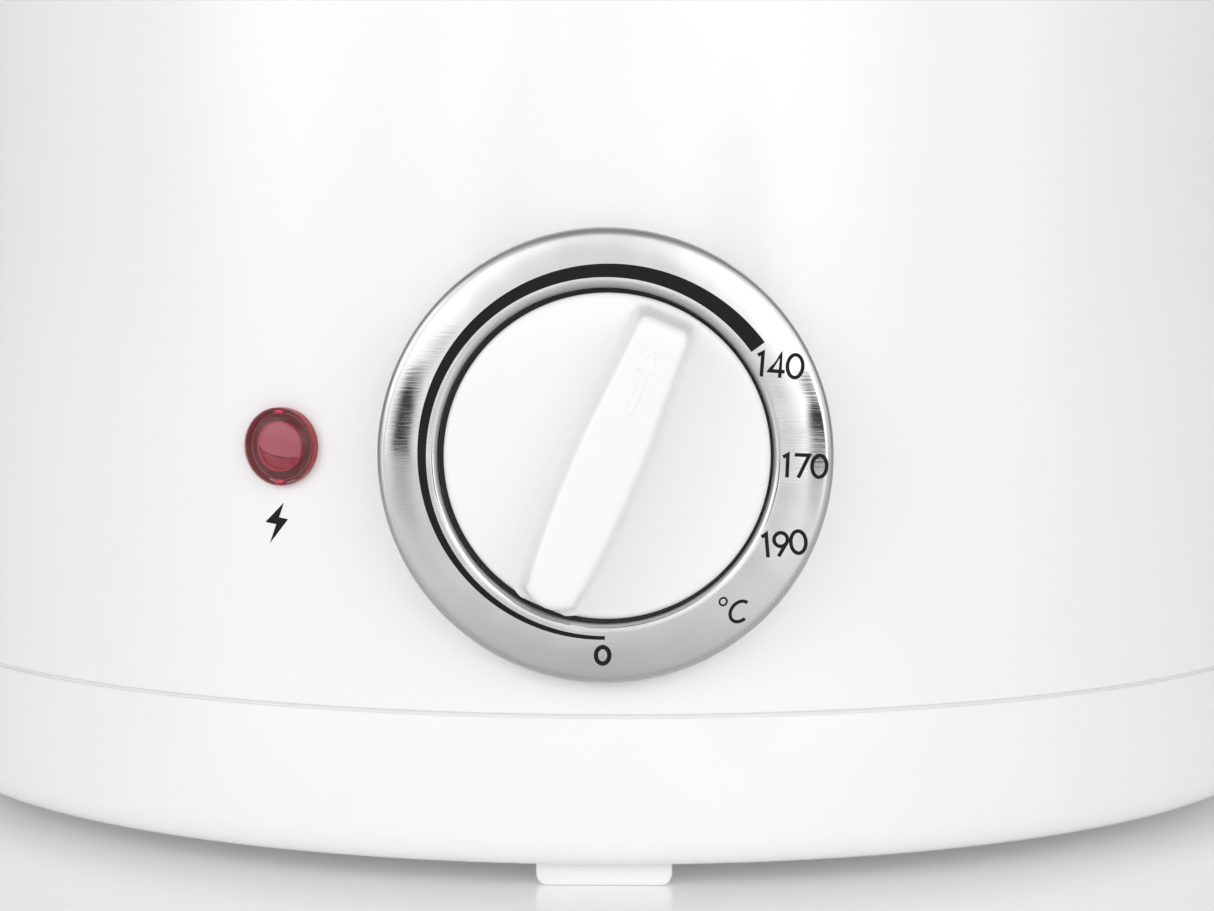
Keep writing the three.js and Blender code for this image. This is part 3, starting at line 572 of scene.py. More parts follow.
def inner_housing():
    outline = rounded([
        (0, 76.3), (92.7, 76.3, 4.7), (92.7, 155.1, 0.9), (103, 155.1), (103, 156.1),
        (91.7, 156.1, 1.2), (91.7, 77.3, 3.8), (0, 77.3),
    ])
    return lathe(outline)


def top_collar():
    outline = rounded([
        (90.5, 156.7), (104, 156.7, 0.5), (104, 163, 1.7),
        (99, 163, 1.0), (99, 160.1, 0.3), (90.5, 160.1, 0.8),
    ], 6)
    return lathe(outline)


def carry_handle():
    outline = rounded([
        (TOP_R + 0.2, 147), (134, 147, 4.6), (134, 131, 1.2),
        (131.4, 131, 1.2), (131.4, 142.6, 3), (TOP_R + 0.2, 142.6),
    ], 6)
    keep = moved(stack(rounded_box(68, 60, 6, 8), [(120, 0), (160, 0)]), Matrix.Translation((0, -110, 0)))
    return worked(lathe(outline), ("INTERSECT", keep))


def cord_gland():
    outline = rounded([
        (3.7, -6), (6.8, -6, 0.5), (6.8, 0.2), (9.5, 0.2, 0.3),
        (9.5, 2.4, 1.2), (7.2, 3.6, 0.8), (3.7, 3.6, 1.0),
    ], 5)
    turn = Matrix.Translation((0, BODY_R, GLAND_Z)) @ Matrix.Rotation(-math.pi / 2, 4, "X")
    return moved(lathe(outline, SMALL), turn)


def make_housing():
    finer("base_pan", base_pan(), WHITE, "housing", "white_plastic")
    finer("outer_shell", outer_shell(), WHITE, "housing", "white_plastic")
    finer("inner_housing", inner_housing(), BRUSHED, "housing", "sheet_steel")
    finer("top_collar", top_collar(), WHITE, "housing", "white_plastic")
    finer("cord_gland", cord_gland(), WHITE, "housing", "white_plastic")
    for side, angle in (("front", 0), ("right", 90), ("rear", 180), ("left", -90)):
        place = TO_ROW @ at_azimuth(math.radians(angle))
        finer(f"foot_{side}", foot(), FOOT_WHITE, "housing", "white_plastic", place)
    for side, angle in (("right", 90), ("left", -90)):
        place = TO_ROW @ at_azimuth(math.radians(angle))
        finer(f"carry_handle_{side}", carry_handle(), WHITE, "housing", "white_plastic", place)


# ---------- dial ----------

DIAL = Matrix.Translation((0, DIAL_Y, DIAL_Z)) @ Matrix.Rotation(-DIAL_LEAN, 4, "X") @ FACING_FRONT
KNOB = Matrix.Translation((KNOB_X, DIAL_Y, KNOB_Z)) @ FACING_FRONT @ Matrix.Rotation(-KNOB_TURN, 4, "Z")


def bezel_face(r):
    """Height of the bezel's crowned face above the housing."""
    return 2.95 - 0.017 * max(0, r - BEZEL_FLAT_R) ** 2


def dial_bezel():
    """A pressed ring with a turned-down outer edge and a rolled inner one."""
    face = [(30.2 - 0.31 * i, bezel_face(30.2 - 0.31 * i)) for i in range(21)]
    edge = bezier((BEZEL_R, 1.3), (BEZEL_R, 2.2), face[0], 8)
    roll = bezier(face[-1], (BEZEL_HOLE_R, 2.95), (BEZEL_HOLE_R, 1.7), 10)
    outline = [(BEZEL_HOLE_R, 0.05), (BEZEL_R, 0.05), (BEZEL_R, 1.3), *edge, *face[1:], *roll]
    return moved(lathe(outline), DIAL)


def dial_shade_ring():
    """A black ring laid in the gap round the knob: painted shade, a dark sheet that makes the gap look deep
    and dark.
    """
    outer = BEZEL_HOLE_R - 0.02
    outline = [(SHADE_RING_R, 0.0), (outer, 0.0), (outer, SHADE_RING_THICK), (SHADE_RING_R, SHADE_RING_THICK)]
    return moved(lathe(outline), DIAL)


def knob_disc():
    outline = [
        (0, 3.65), (8, 3.63), (15, 3.56), (21.2, 3.42),
        *bezier((21.2, 3.42), (KNOB_R, 3.35), (KNOB_R, 2.4), 6),
        (KNOB_R, 0.9), (KNOB_R - 1.5, 0.9), (KNOB_R - 1.5, 2.0), (4.5, 2.0), (4.5, 0.4), (0, 0.4),
    ]
    return lathe(outline)


def knob_grip():
    """The bar across the knob: widest in its middle, square at the pointer and round at its tail."""
    side = smooth_side([
        (3.95, -20.6), (4.6, -17), (5.2, -10), (GRIP_HALF, -3), (5.3, 4), (4.8, 11), (4.35, 18.7),
    ])
    tip = rounded([side[-1], (4.3, GRIP_REACH, 1.7), (-4.3, GRIP_REACH, 1.7), (-4.35, 18.7)], 6)[1:-1]
    across = (-0.85, -0.7, -0.5, -0.25, 0, 0.25, 0.5, 0.7, 0.85)
    tail = [(3.95 * t, -20.6 - 1.5 * (1 - t * t)) for t in across]
    outline = side + tip + [(-x, y) for x, y in reversed(side)] + tail
    layers = [  # height, then how far the sides and the two ends have drawn in
        (2.6, -1.2, -1.0), (3.4, -1.1, -0.9), (3.6, -0.7, -0.6), (3.9, -0.3, -0.25), (4.4, -0.05, 0.0),
        (8.5, 0.3, 0.4), (12.0, 0.6, 0.8), (12.6, 0.7, 0.95), (13.1, 0.9, 1.2), (13.4, 1.25, 1.6),
        (13.5, 1.7, 2.1), (13.55, 2.6, 3.0),
    ]
    verts = []
    for height, sides, ends in layers:
        narrower, shorter = 1 - sides / GRIP_HALF, 1 - ends / GRIP_REACH
        verts += [(x * narrower, max(y * shorter, KNOB_GAP - KNOB_R), height) for x, y in outline]
    return layered(verts, len(outline))


def knob():
    arrow = [(-0.55, -4.4), (0.55, -4.4), (0.55, 1.6), (1.45, 1.6), (0, 4.9), (-1.45, 1.6), (-0.55, 1.6)]
    mark = stack(arrow, [(13.2, 0), (13.6, 0), (13.66, 0.06)])
    moved(mark, Matrix.Translation((0, 11.5, 0)))
    return moved(worked(knob_disc(), ("UNION", knob_grip()), ("UNION", mark)), KNOB)


def smooth_side(points, steps=4):
    """More points along a gentle side, on a Catmull-Rom curve."""
    padded = [points[0], *points, points[-1]]
    fine = []
    for i in range(1, len(padded) - 2):
        a, b, c, d = (Vector(padded[i + k]) for k in (-1, 0, 1, 2))
        for k in range(steps):
            t = k / steps
            curve = 2 * b + (c - a) * t + (2 * a - 5 * b + 4 * c - d) * t * t
            fine.append(tuple((curve + (3 * b - a - 3 * c + d) * t**3) / 2))
    return fine + [points[-1]]


def arc(cx, cy, rx, ry, start, end, steps=28):
    """Points on an ellipse from a start to an end angle, anticlockwise from +X in degrees."""
    angles = (math.radians(start + (end - start) * i / steps) for i in range(steps + 1))
    return [(cx + rx * math.cos(a), cy + ry * math.sin(a)) for a in angles]


# Pen strokes in a box one unit tall, each with its advance, so the print has no typeface of its own.
FIGURES = {
    "0": (0.72, [arc(0.36, 0.5, 0.305, 0.45, 90, 450, 40)]),
    "O": (0.86, [arc(0.43, 0.5, 0.36, 0.45, 90, 450, 40)]),
    "1": (0.47, [[(0.05, 0.83), (0.245, 0.945), (0.245, 0.0)]]),
    "4": (0.72, [[(0.5, 0.0), (0.5, 0.93), (0.08, 0.25), (0.68, 0.25)]]),
    "7": (0.74, [[(0.06, 0.945), (0.66, 0.945), (0.24, 0.0)]]),
    "9": (0.68, [arc(0.34, 0.67, 0.27, 0.275, -38, 322, 40), [(0.553, 0.5), (0.2, 0.0)]]),
    "C": (0.9, [arc(0.5, 0.5, 0.44, 0.45, 50, 310, 36)]),
    "o": (0.4, [arc(0.18, 0.7, 0.165, 0.165, 90, 450, 28)]),
}


def stroke(points, width):
    """The two edges of a pen stroke along its points."""
    points = [Vector(p) for p in points]
    closed = (points[0] - points[-1]).length < 1e-6
    left, right = [], []
    for i, p in enumerate(points):
        if i:
            back = p - points[i - 1]
        else:
            back = p - points[-2] if closed else points[1] - p
        if i + 1 < len(points):
            ahead = points[i + 1] - p
        else:
            ahead = points[1] - p if closed else p - points[-2]
        back, ahead = back.normalized(), ahead.normalized()
        normal = Vector((-back.y - ahead.y, back.x + ahead.x)).normalized()
        reach = width / 2 / max(0.45, normal.dot(Vector((-back.y, back.x))))
        left.append(p + normal * reach)
        right.append(p - normal * reach)
    return left, right


def printed(outlines, surface):
    """Ink between pairs of edges, on a surface that gives a depth at each x and z."""
    meshes = []
    for left, right in outlines:
        verts, faces = [], []
        for a, b in zip(left, right):
            for x, z in (a, b):
                verts += [(x, surface(x, z) - INK, z), (x, surface(x, z) + 0.1, z)]
        for i in range(len(left) - 1):
            k = 4 * i
            faces += [
                [k, k + 2, k + 6, k + 4], [k + 1, k + 5, k + 7, k + 3],
                [k, k + 4, k + 5, k + 1], [k + 2, k + 3, k + 7, k + 6],
            ]
        end = 4 * (len(left) - 1)
        faces += [[0, 1, 3, 2], [end, end + 2, end + 3, end + 1]]
        meshes.append(shape(verts, faces))
    return merged(meshes)


def lettering(text, centre, height, tilt, slant=0.0):
    """Strokes of a short text round its centre, in dial coordinates."""
    total = sum(FIGURES[c][0] for c in text) * height
    turn = Matrix.Rotation(math.radians(tilt), 2)
    strokes, x = [], -total / 2
    for character in text:
        advance, lines = FIGURES[character]
        for line in lines:
            placed = []
            for u, v in line:
                p = Vector((x + (u + slant * v) * height, (v - 0.5) * height))
                placed.append(turn @ p + Vector(centre))
            strokes.append(placed)
        x += advance * height
    return strokes


def on_bezel(x, z):
    up = z - DIAL_Z
    return DIAL_Y + up * math.tan(DIAL_LEAN) - bezel_face(math.hypot(x, up))


def heat_scale():
    """The band round the knob, thin at its start and widest at the hottest setting."""
    inner, outer = [], []
    start_r, thin, growth = 24.45, 0.5, 1.75
    steps = 140
    for i in range(steps + 1):
        a = math.radians(180 + 234 * i / steps)
        wide = start_r + thin + growth * (i / steps)
        inner.append((start_r * math.sin(a), DIAL_Z + start_r * math.cos(a)))
        outer.append((wide * math.sin(a), DIAL_Z + wide * math.cos(a)))
    return printed([(inner, outer)], on_bezel)


def dial_figures():
    words = [  # text, centre from the dial's centre, height, tilt, slant, pen width
        ("140", (23.7, 12.6), 3.45, -4, 0.0, 0.5),
        ("170", (27.15, -1.1), 3.3, -2, 0.0, 0.5),
        ("190", (24.4, -11.7), 3.4, 5, 0.0, 0.5),
        ("o", (16.05, -20.3), 3.1, 7, 0.1, 0.26),
        ("C", (17.85, -21.1), 3.05, 7, 0.28, 0.46),
        ("O", (-0.3, -27.1), 2.55, 0, 0.0, 0.6),
    ]
    strokes = []
    for text, (x, z), height, tilt, slant, width in words:
        lines = lettering(text, (x, z + DIAL_Z), height, tilt, slant)
        strokes += [stroke(line, width) for line in lines]
    return printed(strokes, on_bezel)


def make_dial():
    ring = finer("dial_bezel", dial_bezel(), BEZEL, "housing", "polished_steel")
    # the outer edge takes the rougher, slightly darker steel; its darker tone is painted shade
    ring.data.materials.append(BEZEL_EDGE)
    middle = TO_ROW @ Vector((0, DIAL_Y, DIAL_Z))
    for face in ring.data.polygons:
        if math.hypot(face.center.x - middle.x, face.center.z - middle.z) > 0.001 * (BEZEL_R - 0.85):
            face.material_index = 1
    # painted shade: a black ring that darkens the gap round the knob
    piece("dial_shade_ring", dial_shade_ring(), BLACK, "housing", "black_plastic")
    piece("heat_scale_print", heat_scale(), PRINT, "housing", "black_plastic")
    piece("dial_figures_print", dial_figures(), PRINT, "housing", "black_plastic")
    finer("control_knob", knob(), KNOB_WHITE, "temperature_knob", "white_plastic")


# ---------- pilot lamp ----------

LAMP = at_azimuth(LAMP_AZIMUTH) @ Matrix.Translation((0, -wall_r(LAMP_Z), LAMP_Z)) @ FACING_FRONT


def lamp_lens():
    """The thin clear-red dome."""
    outline = [
        (4.6, 1.3), (LAMP_R, 1.3), (LAMP_R, 1.45),
        *bezier((LAMP_R, 1.45), (5.2, 2.5), (3.9, 2.95), 8),
        *bezier((3.9, 2.95), (2.6, 3.3), (0, 3.3), 8),
        (0, 2.6), (3.6, 2.3), (4.6, 1.5),
    ]
    return moved(lathe(outline, MEDIUM), LAMP)


def lamp_rim():
    """The upright edge of the lens."""
    outline = rounded([(LAMP_RIM_R, -1.2), (LAMP_RIM_R, 1.28, 0.1), (LAMP_R, 1.28, 0.1), (LAMP_R, 0.05)])
    return moved(lathe(outline, MEDIUM), LAMP)


def lamp_core():
    """The light guide under the dome, with its upper part and a thin ring in a lighter red that is painted
    light, and ridges, facets and snap lugs in a bright red that is a painted highlight.
    """
    guide = lathe(rounded([
        (0, -9), (LAMP_GUIDE_R, -9), (LAMP_GUIDE_R, 1.0, 0.2), (3.2, 1.0, 0.1),
        (3.1, 0.75, 0.1), (1.7, 0.75), (1.5, 0.5), (0, 0.6),
    ]), SMALL)
    # painted highlight: the facets, the bead ring and the snap lugs below get a bright red that stands for
    # glints
    facets = []
    for a, b in ((-0.6, -1.0), (-2.2, -2.7), (-1.4, -1.9), (0.2, 0.5), (2.4, 2.9)):
        inner = (1.9 * math.cos(a), 1.9 * math.sin(a), 0.8)
        outer = (2.9 * math.cos(b), 2.9 * math.sin(b), 0.85)
        facets.append(tube([inner, outer], 0.13, 6))
    bead = tube(ring_points(3.45, 1.12, SMALL), 0.13, 8, closed=True)
    # painted light: a thin ring in the lighter red, a light line round the rim
    line = tube(ring_points(4.72, 0.5, SMALL), 0.07, 8, closed=True)
    lugs = [block((-0.7, s * 4.88 - 0.28, 0.2), (0.7, s * 4.88 + 0.28, 1.4), 0.25) for s in (-1, 1)]
    # painted light: the guide's upper part, between these edges, is a lighter red layer
    lower_edge = bezier((-3.25, -0.1), (-1.4, -1.9), (3.1, -1.35), 12)
    upper_edge = arc(0, 0, 3.35, 3.35, -12, 176.6, 23)
    painted_lit_top = stack(lower_edge + upper_edge, [(0.95, 0), (1.08, 0), (1.14, 0.06)])
    painted_light_marks, ridges = merged([painted_lit_top, line]), merged([bead, *facets, *lugs])
    return moved(guide, LAMP), moved(painted_light_marks, LAMP), moved(ridges, LAMP)


def lamp_cup():
    outline = [(3.6, -1.1), (LAMP_CUP_R, -1.1), (LAMP_CUP_R, 0.15), (3.6, 0.15)]
    return moved(lathe(outline, SMALL), LAMP)


def mains_sign():
    """A plain lightning flash under the lamp."""
    flash = [(0.99, 2.66), (0.32, 0.73), (1.53, 0.55), (-0.92, -2.64), (-0.05, -0.16), (-1.51, 0.05)]
    grow, aside, below = 1.11, 1.03, 10.6
    x0, z0 = wall_r(LAMP_Z) * math.sin(LAMP_AZIMUTH) - aside, DIAL_Z - below
    near = [(x0 + grow * x, z0 + grow * z) for x, z in flash]
    verts = [(x, -math.sqrt(wall_r(z) ** 2 - x * x) - 0.05, z) for x, z in near]
    verts += [(x, y + 0.4, z) for x, y, z in verts]
    count = len(flash)
    sides = [[i, (i + 1) % count, count + (i + 1) % count, count + i] for i in range(count)]
    return shape(verts, [list(range(count)), list(range(count, 2 * count)), *sides])


def make_lamp():
    guide, painted_lit_top, ridges = lamp_core()
    finer("lamp_lens", lamp_lens(), LENS, "housing", "red_lens")
    for name, mesh, look in (
        # the lighter top and ring are painted light, and the ridges' bright red is a painted highlight
        ("rim", lamp_rim(), LENS_EDGE), ("guide", guide, LENS_CORE), ("painted_lit_top", painted_lit_top, LENS_PAINTED_LIGHT),
        ("ridges", ridges, LENS_PAINTED_GLINT), ("cup", lamp_cup(), LENS_CUP),
    ):
        piece("lamp_lens_" + name, mesh, look, "housing", "red_lens")
    piece("mains_sign_print", mains_sign(), PRINT, "housing", "black_plastic")


# ---------- latch ----------


def latch_button():
    face = stack(rounded_box(LATCH_WIDTH, LATCH_HEIGHT, 1.6), soft_layers(101, 116, 0.9))
    turned = moved(face, LATCH_FACE)
    opening = block((-10.8, -111.2, LATCH_Z - 10), (10.8, -104.9, LATCH_Z + 10))
    ridges = [
        tube([(-9, -116, LATCH_Z + z), (9, -116, LATCH_Z + z)], 0.45, 12) for z in (-1.8, 0, 1.8)
    ]
    return merged([cut(turned, opening), *ridges])


def latch_spring():
    """A coil behind the button, with its end turns closed."""
    points = []
    steps = 108
    closed_share = 0.11  # of the coil, lying flat at each end
    for i in range(steps + 1):
        a = 2 * math.pi * SPRING_TURNS * i / steps
        climb = min(max((i / steps - closed_share) / (1 - 2 * closed_share), 0), 1)
        y = SPRING_FRONT + (SPRING_SEAT - SPRING_FRONT) * climb
        points.append((SPRING_R * math.cos(a), y, LATCH_Z + SPRING_R * math.sin(a)))
    return tube(points, SPRING_WIRE, 10)


# ---------- pot and basket ----------


POT_LOW, POT_HIGH = (84.4, 79.1), (87.0, 161.8)  # radius and height at the inner wall's two ends


def pot():
    outline = rounded([
        (0, 77.6), (85.9, 77.6, 10), (88.5, 160.3, 1.2), (98, 160.3, 0.4), (98, 161.8, 0.6),
        (*POT_HIGH, 2.2), (*POT_LOW, 8.5), (0, POT_LOW[1]),
    ], 8)
    return lathe(outline)


def level_marks():
    """Raised oil level lines on the pot's wall."""
    marks = []
    for z, half in ((112, 9), (128, 14)):
        share = (z - POT_LOW[1]) / (POT_HIGH[1] - POT_LOW[1])
        radius = POT_LOW[0] + (POT_HIGH[0] - POT_LOW[0]) * share - 0.1
        turns = [math.radians(150 + half * (i / 12 - 0.5) * 2) for i in range(13)]
        marks.append(tube([polar(radius, a, z) for a in turns], 0.5, 8))
    return merged(marks)


BASKET_FLOOR, BASKET_RIM, BASKET_R, BASKET_FLOOR_R = 83.0, 149.9, 79.0, 73.2
PITCH = 4.1
WIRE = 0.42


def basket_r(z):
    return BASKET_R - 3 + 3 * min(1, max(0, (z - BASKET_FLOOR - 4) / 61))


def basket_mesh():
    """Woven wire: uprights and hoops round the wall, and a square weave across the floor."""
    uprights, hoops = 118, 16
    levels = [BASKET_FLOOR + 2.2 + PITCH * i for i in range(hoops)]
    wires = []
    for i in range(uprights):
        a = 2 * math.pi * i / uprights
        path = [polar(BASKET_FLOOR_R, a, BASKET_FLOOR + 0.4)]
        for k, z in enumerate(levels):
            r = basket_r(z) - WIRE + (WIRE if (i + k) % 2 else -WIRE)
            path.append(polar(r, a, z))
        path.append(polar(BASKET_R, a, BASKET_RIM))
        wires.append(tube(path, WIRE, 5))
    for k, z in enumerate(levels):
        path = []
        for i in range(uprights):
            a = 2 * math.pi * i / uprights
            r = basket_r(z) - WIRE - (WIRE if (i + k) % 2 else -WIRE)
            path.append(polar(r, a, z))
        wires.append(tube(path, WIRE, 5, closed=True))
    lines = [PITCH * (i + 0.5) for i in range(-18, 18)]
    for across in (False, True):
        for n, u in enumerate(lines):
            reach = math.sqrt(max(0, (BASKET_FLOOR_R + 0.4) ** 2 - u * u))
            stops = [-reach] + [v for v in lines if abs(v) < reach] + [reach]
            path = []
            for v in stops:
                m = lines.index(v) if v in lines else 0
                up = (n + m + across) % 2
                z = BASKET_FLOOR + 0.45 + (WIRE if up else -WIRE)
                path.append((v, u, z) if across else (u, v, z))
            wires.append(tube(path, WIRE, 5))
    return merged(wires)


def basket_hoops():
    """The thick rim and the stiffening hoops welded to the weave."""
    return merged([
        tube(ring_points(80, BASKET_RIM), 1.8, 14, closed=True),
        tube(ring_points(basket_r(118) + 0.8, 118), 0.9, 10, closed=True),
        tube(ring_points(76.2, BASKET_FLOOR + 2.6), 0.9, 10, closed=True),
    ])


def foot_ring():
    """The ring that the basket stands on, with two bars across it."""
    radius, z, aside = 54, 81.1, 22
    half = math.sqrt(radius**2 - aside**2)
    cross = [tube([(x, -half, z), (x, half, z)], 1.0, 10) for x in (-aside, aside)]
    return merged([tube(ring_points(radius, z), 1.5, 12, closed=True), *cross])


def handle_fork():
    """Two round wires from a sleeve on the pivot into the grip."""
    y, z = GRIP_PIVOT.y, GRIP_PIVOT.z
    sleeve = rounded([(2.3, -13.2), (4.2, -13.2, 0.4), (4.2, 13.2, 0.4), (2.3, 13.2)])
    crosswise = Matrix.Translation((0, y, z)) @ Matrix.Rotation(math.pi / 2, 4, "Y")
    turned = moved(lathe(sleeve, SMALL), crosswise)
    arms = [
        tube([(s * 8.5, y + 2.5, z), (s * 8.5, y + 20, z), (s * 8.5, y + 49, z)], 1.9, 16) for s in (-1, 1)
    ]
    return merged([turned, *arms])


def grip_outline():
    """The grip as seen from above: narrow at the fork, wide and round at its end."""
    side = smooth_side([(11.4, 42), (11.0, 60), (11.3, 80), (12.4, 100), (13.7, 118), (13.9, 128)])
    end = arc(0, 128, 13.9, 14.6, 8, 172, 20)
    return side + end + [(-x, y) for x, y in reversed(side)]


def grip_half(side):
    """Half of the grip, split along its length. The side is 1 above the split when folded."""
    layers = [
        (0.15, 0.35), (0.4, 0.05), (1.2, 0.0), (3.0, 0.2), (4.8, 0.9), (6.1, 2.2), (6.9, 4.0), (7.15, 6.2),
    ]
    half = stack(grip_outline(), layers)
    if side < 0:
        half = moved(half, Matrix.Rotation(math.pi, 4, "Y"))
    return moved(half, Matrix.Translation(GRIP_PIVOT))


def handle_slider():
    """The thumb slide, ribbed across."""
    y, z = GRIP_PIVOT.y + 60.5, GRIP_PIVOT.z - 7.35
    cap = stack(rounded_box(13, 15, 3), soft_layers(z - 2.3, z, 0.8))
    ribs = [tube([(-4.5, dy, z - 2.3), (4.5, dy, z - 2.3)], 0.5, 10) for dy in (-4, -2, 0, 2, 4)]
    return moved(merged([cap, *ribs]), Matrix.Translation((0, y, 0)))


def make_pot_and_basket():
    finer("pot", merged([pot(), level_marks()]), NON_STICK, "oil_pot", "non_stick")
    steel = ("basket", "polished_steel")
    piece("basket_weave", basket_mesh(), CHROME, *steel, ["basket_cup"], smooth=80)
    piece("basket_hoops", basket_hoops(), CHROME, *steel, ["basket_rim"])
    piece("basket_foot_fine", foot_ring(), CHROME, *steel, ["basket_foot_ring"])
    handle = "basket_handle"
    finer("handle_fork", handle_fork(), CHROME, handle, "polished_steel")
    finer("grip_lower", grip_half(1), KNOB_WHITE, handle, "white_plastic")
    finer("grip_upper", grip_half(-1), KNOB_WHITE, handle, "white_plastic")
    finer("handle_slider", handle_slider(), GREY, handle, "grey_plastic")


# ---------- lid ----------


def filter_hole(grow, low_z, high_z):
    outline = rounded_box(FILTER_WIDTH + 2 * grow, FILTER_DEPTH + 2 * grow, 3)
    return moved(stack(outline, [(low_z, 0), (high_z, 0)]), Matrix.Translation((0, FILTER_Y, 0)))


def lid_shell():
    t = 2.4
    outline = [
        (TOP_R, 156.3), (TOP_R - 0.2, 176),
        *bezier((TOP_R - 0.2, 176), (TOP_R - 1.2, 192.5), (96, 196), 16),
        (86, 197.7), (80, LID_TOP), (0, LID_TOP), (0, LID_TOP - t), (80, LID_TOP - t), (85.5, 195.3),
        (95, 193.4),
        *bezier((95, 193.4), (TOP_R - 3.6, 190.4), (TOP_R - 0.2 - t, 176), 10),
        (TOP_R - t, 156.3), (TOP_R - t + 0.4, 155.9), (TOP_R - 0.4, 155.9),
    ]
    half, cheek = 24.6, 6.9  # the knuckle, and the bracket's arm on each side of it
    knuckle = rod((-half, HINGE.y, HINGE.z), (half, HINGE.y, HINGE.z), 5)
    web = block((-half, 110.5, HINGE.z), (half, HINGE.y, HINGE.z + 5))
    room = [block((x, 112.9, 150), (x + cheek, 130, 169)) for x in (-half - cheek, half)]
    pin = rod((-50, HINGE.y, HINGE.z), (50, HINGE.y, HINGE.z), 2.3)
    window = rod((0, WINDOW_Y, 150), (0, WINDOW_Y, 220), WINDOW_R, MEDIUM)
    return cut(lathe(outline), pin, window, filter_hole(0, 150, 220), *room, added=[knuckle, web])


def fume_slots(low_z, high_z):
    middles = [FILTER_Y + 9 * i for i in (-1, 0, 1)]
    return [block((-34, y - 2, low_z), (34, y + 2, high_z)) for y in middles]


def lid_liner():
    outline = rounded([
        (109.6, 166.3), (109.6, 167.5), (88.2, 167.5, 1.5), (88.2, LINER_TOP + 1.2, 4.2),
        (0, LINER_TOP + 1.2), (0, LINER_TOP), (87, LINER_TOP, 3.6), (87, 166.3, 1.0),
    ], 6)
    window = rod((0, WINDOW_Y, 180), (0, WINDOW_Y, 200), WINDOW_R - 3.5, MEDIUM)
    return cut(lathe(outline), window, *fume_slots(180, 200))


def lid_seal():
    outline = rounded([
        (89.2, 166.0), (97, 166.0, 0.5), (96.8, 163.6, 0.6), (95.4, 162.1, 0.5), (93.8, 163.4, 0.6),
        (92.0, 163.4, 0.6), (90.6, 162.1, 0.5), (89.4, 163.6, 0.6),
    ], 4)
    return lathe(outline)


def window_frame():
    r = WINDOW_R
    outline = rounded([
        (r - 3.4, 191.6), (r - 0.4, 191.6), (r - 0.4, LID_TOP + 0.1), (r + 4, LID_TOP + 0.1, 0.2),
        (r + 3.4, LID_TOP + 2.2, 1.4), (r - 1.6, LID_TOP + 2.2, 0.7), (r - 1.6, LID_TOP - 1.8),
        (r - 3.4, LID_TOP - 1.8, 0.3),
    ], 6)
    return moved(lathe(outline, MEDIUM), Matrix.Translation((0, WINDOW_Y, 0)))


def window_glass():
    r = WINDOW_R - 1.9
    outline = [
        (0, LID_TOP - 1.7), (r, LID_TOP - 1.7), (r, LID_TOP + 0.9), (r - 1.2, LID_TOP + 1.3),
        (0, LID_TOP + 1.6),
    ]
    return moved(lathe(outline, MEDIUM), Matrix.Translation((0, WINDOW_Y, 0)))


def filter_cover():
    """A cover with five slots on each side and a knuckle along its front edge."""
    bottom = LID_TOP + 1.6
    plate = stack(rounded_box(FILTER_WIDTH + 7, FILTER_DEPTH + 7, 4), soft_layers(bottom, bottom + 3, 0.8))
    moved(plate, Matrix.Translation((0, FILTER_Y, 0)))
    y, z = FILTER_Y - 20.7, LID_TOP + 4
    knuckle = rod((-18.4, y, z), (18.4, y, z), 2.3)
    slots = [
        moved(
            stack(rounded_box(34, 2.4, 1.15), [(bottom - 2, 0), (bottom + 6, 0)]),
            Matrix.Translation((19.5 * side, FILTER_Y + 5 * row, 0)),
        )
        for side in (-1, 1)
        for row in (-2, -1, 0, 1, 2)
    ]
    room = [block((20.15 * s - 1.7, y - 5, 190), (20.15 * s + 1.7, y + 2.6, 220)) for s in (-1, 1)]
    pin = rod((-60, y, z), (60, y, z), 1.3)
    return cut(plate, pin, *slots, *room, added=[knuckle])


def make_lid():
    finer("lid_shell", lid_shell(), WHITE, "lid", "white_plastic", LID_TO_ROW)
    finer("lid_liner", lid_liner(), ALUMINIUM, "lid", "aluminium", LID_TO_ROW)
    finer("lid_seal", lid_seal(), SILICONE, "lid", "silicone", LID_TO_ROW)
    finer("window_frame", window_frame(), GREY, "lid", "grey_plastic", LID_TO_ROW)
    finer("window_glass", window_glass(), GLASS, "lid", "glass", LID_TO_ROW)
    finer("filter_cover", filter_cover(), GREY, "filter_lid", "grey_plastic", LID_TO_ROW)


def make_latch():
    finer("latch_button", latch_button(), GREY, "latch", "grey_plastic")
    spring = finer("latch_spring", latch_spring(), CHROME, "housing", "polished_steel")
    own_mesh(spring)


# ---------- CAD pieces that keep their own shape ----------

KEPT = {
    WHITE: ["hinge_bracket"],
    GREY: ["filter_tray"],
    CHROME: [
        "heating_element", *(f"leg_screw_{i}" for i in (1, 2, 3)), "thermostat_screw_left",
        "thermostat_screw_right", "lamp_clip", "thermostat_shaft", "hinge_pin",
        "handle_bracket", "handle_pin", "filter_cover_pin", "lid_catch",
    ],
    BRUSHED: [f"support_leg_{i}" for i in (1, 2, 3)],
    ALUMINIUM: ["heater_plate"],
    BLACK: ["thermostat_body", "thermal_cutout", "terminal_block", "lamp_holder"],
    CHARCOAL: ["filter_pad"],
    BROWN: ["lead_supply", "lead_switched"],
    BLUE: ["lead_return"],
    COPPER: ["sensor_bulb", "capillary_tube"],
}
SOFT_EDGES = {
    "hinge_bracket": 0.8, "filter_tray": 0.3, "handle_bracket": 0.35, "lid_catch": 0.3,
    "thermostat_body": 0.5, "terminal_block": 0.5, "thermal_cutout": 0.5,
}


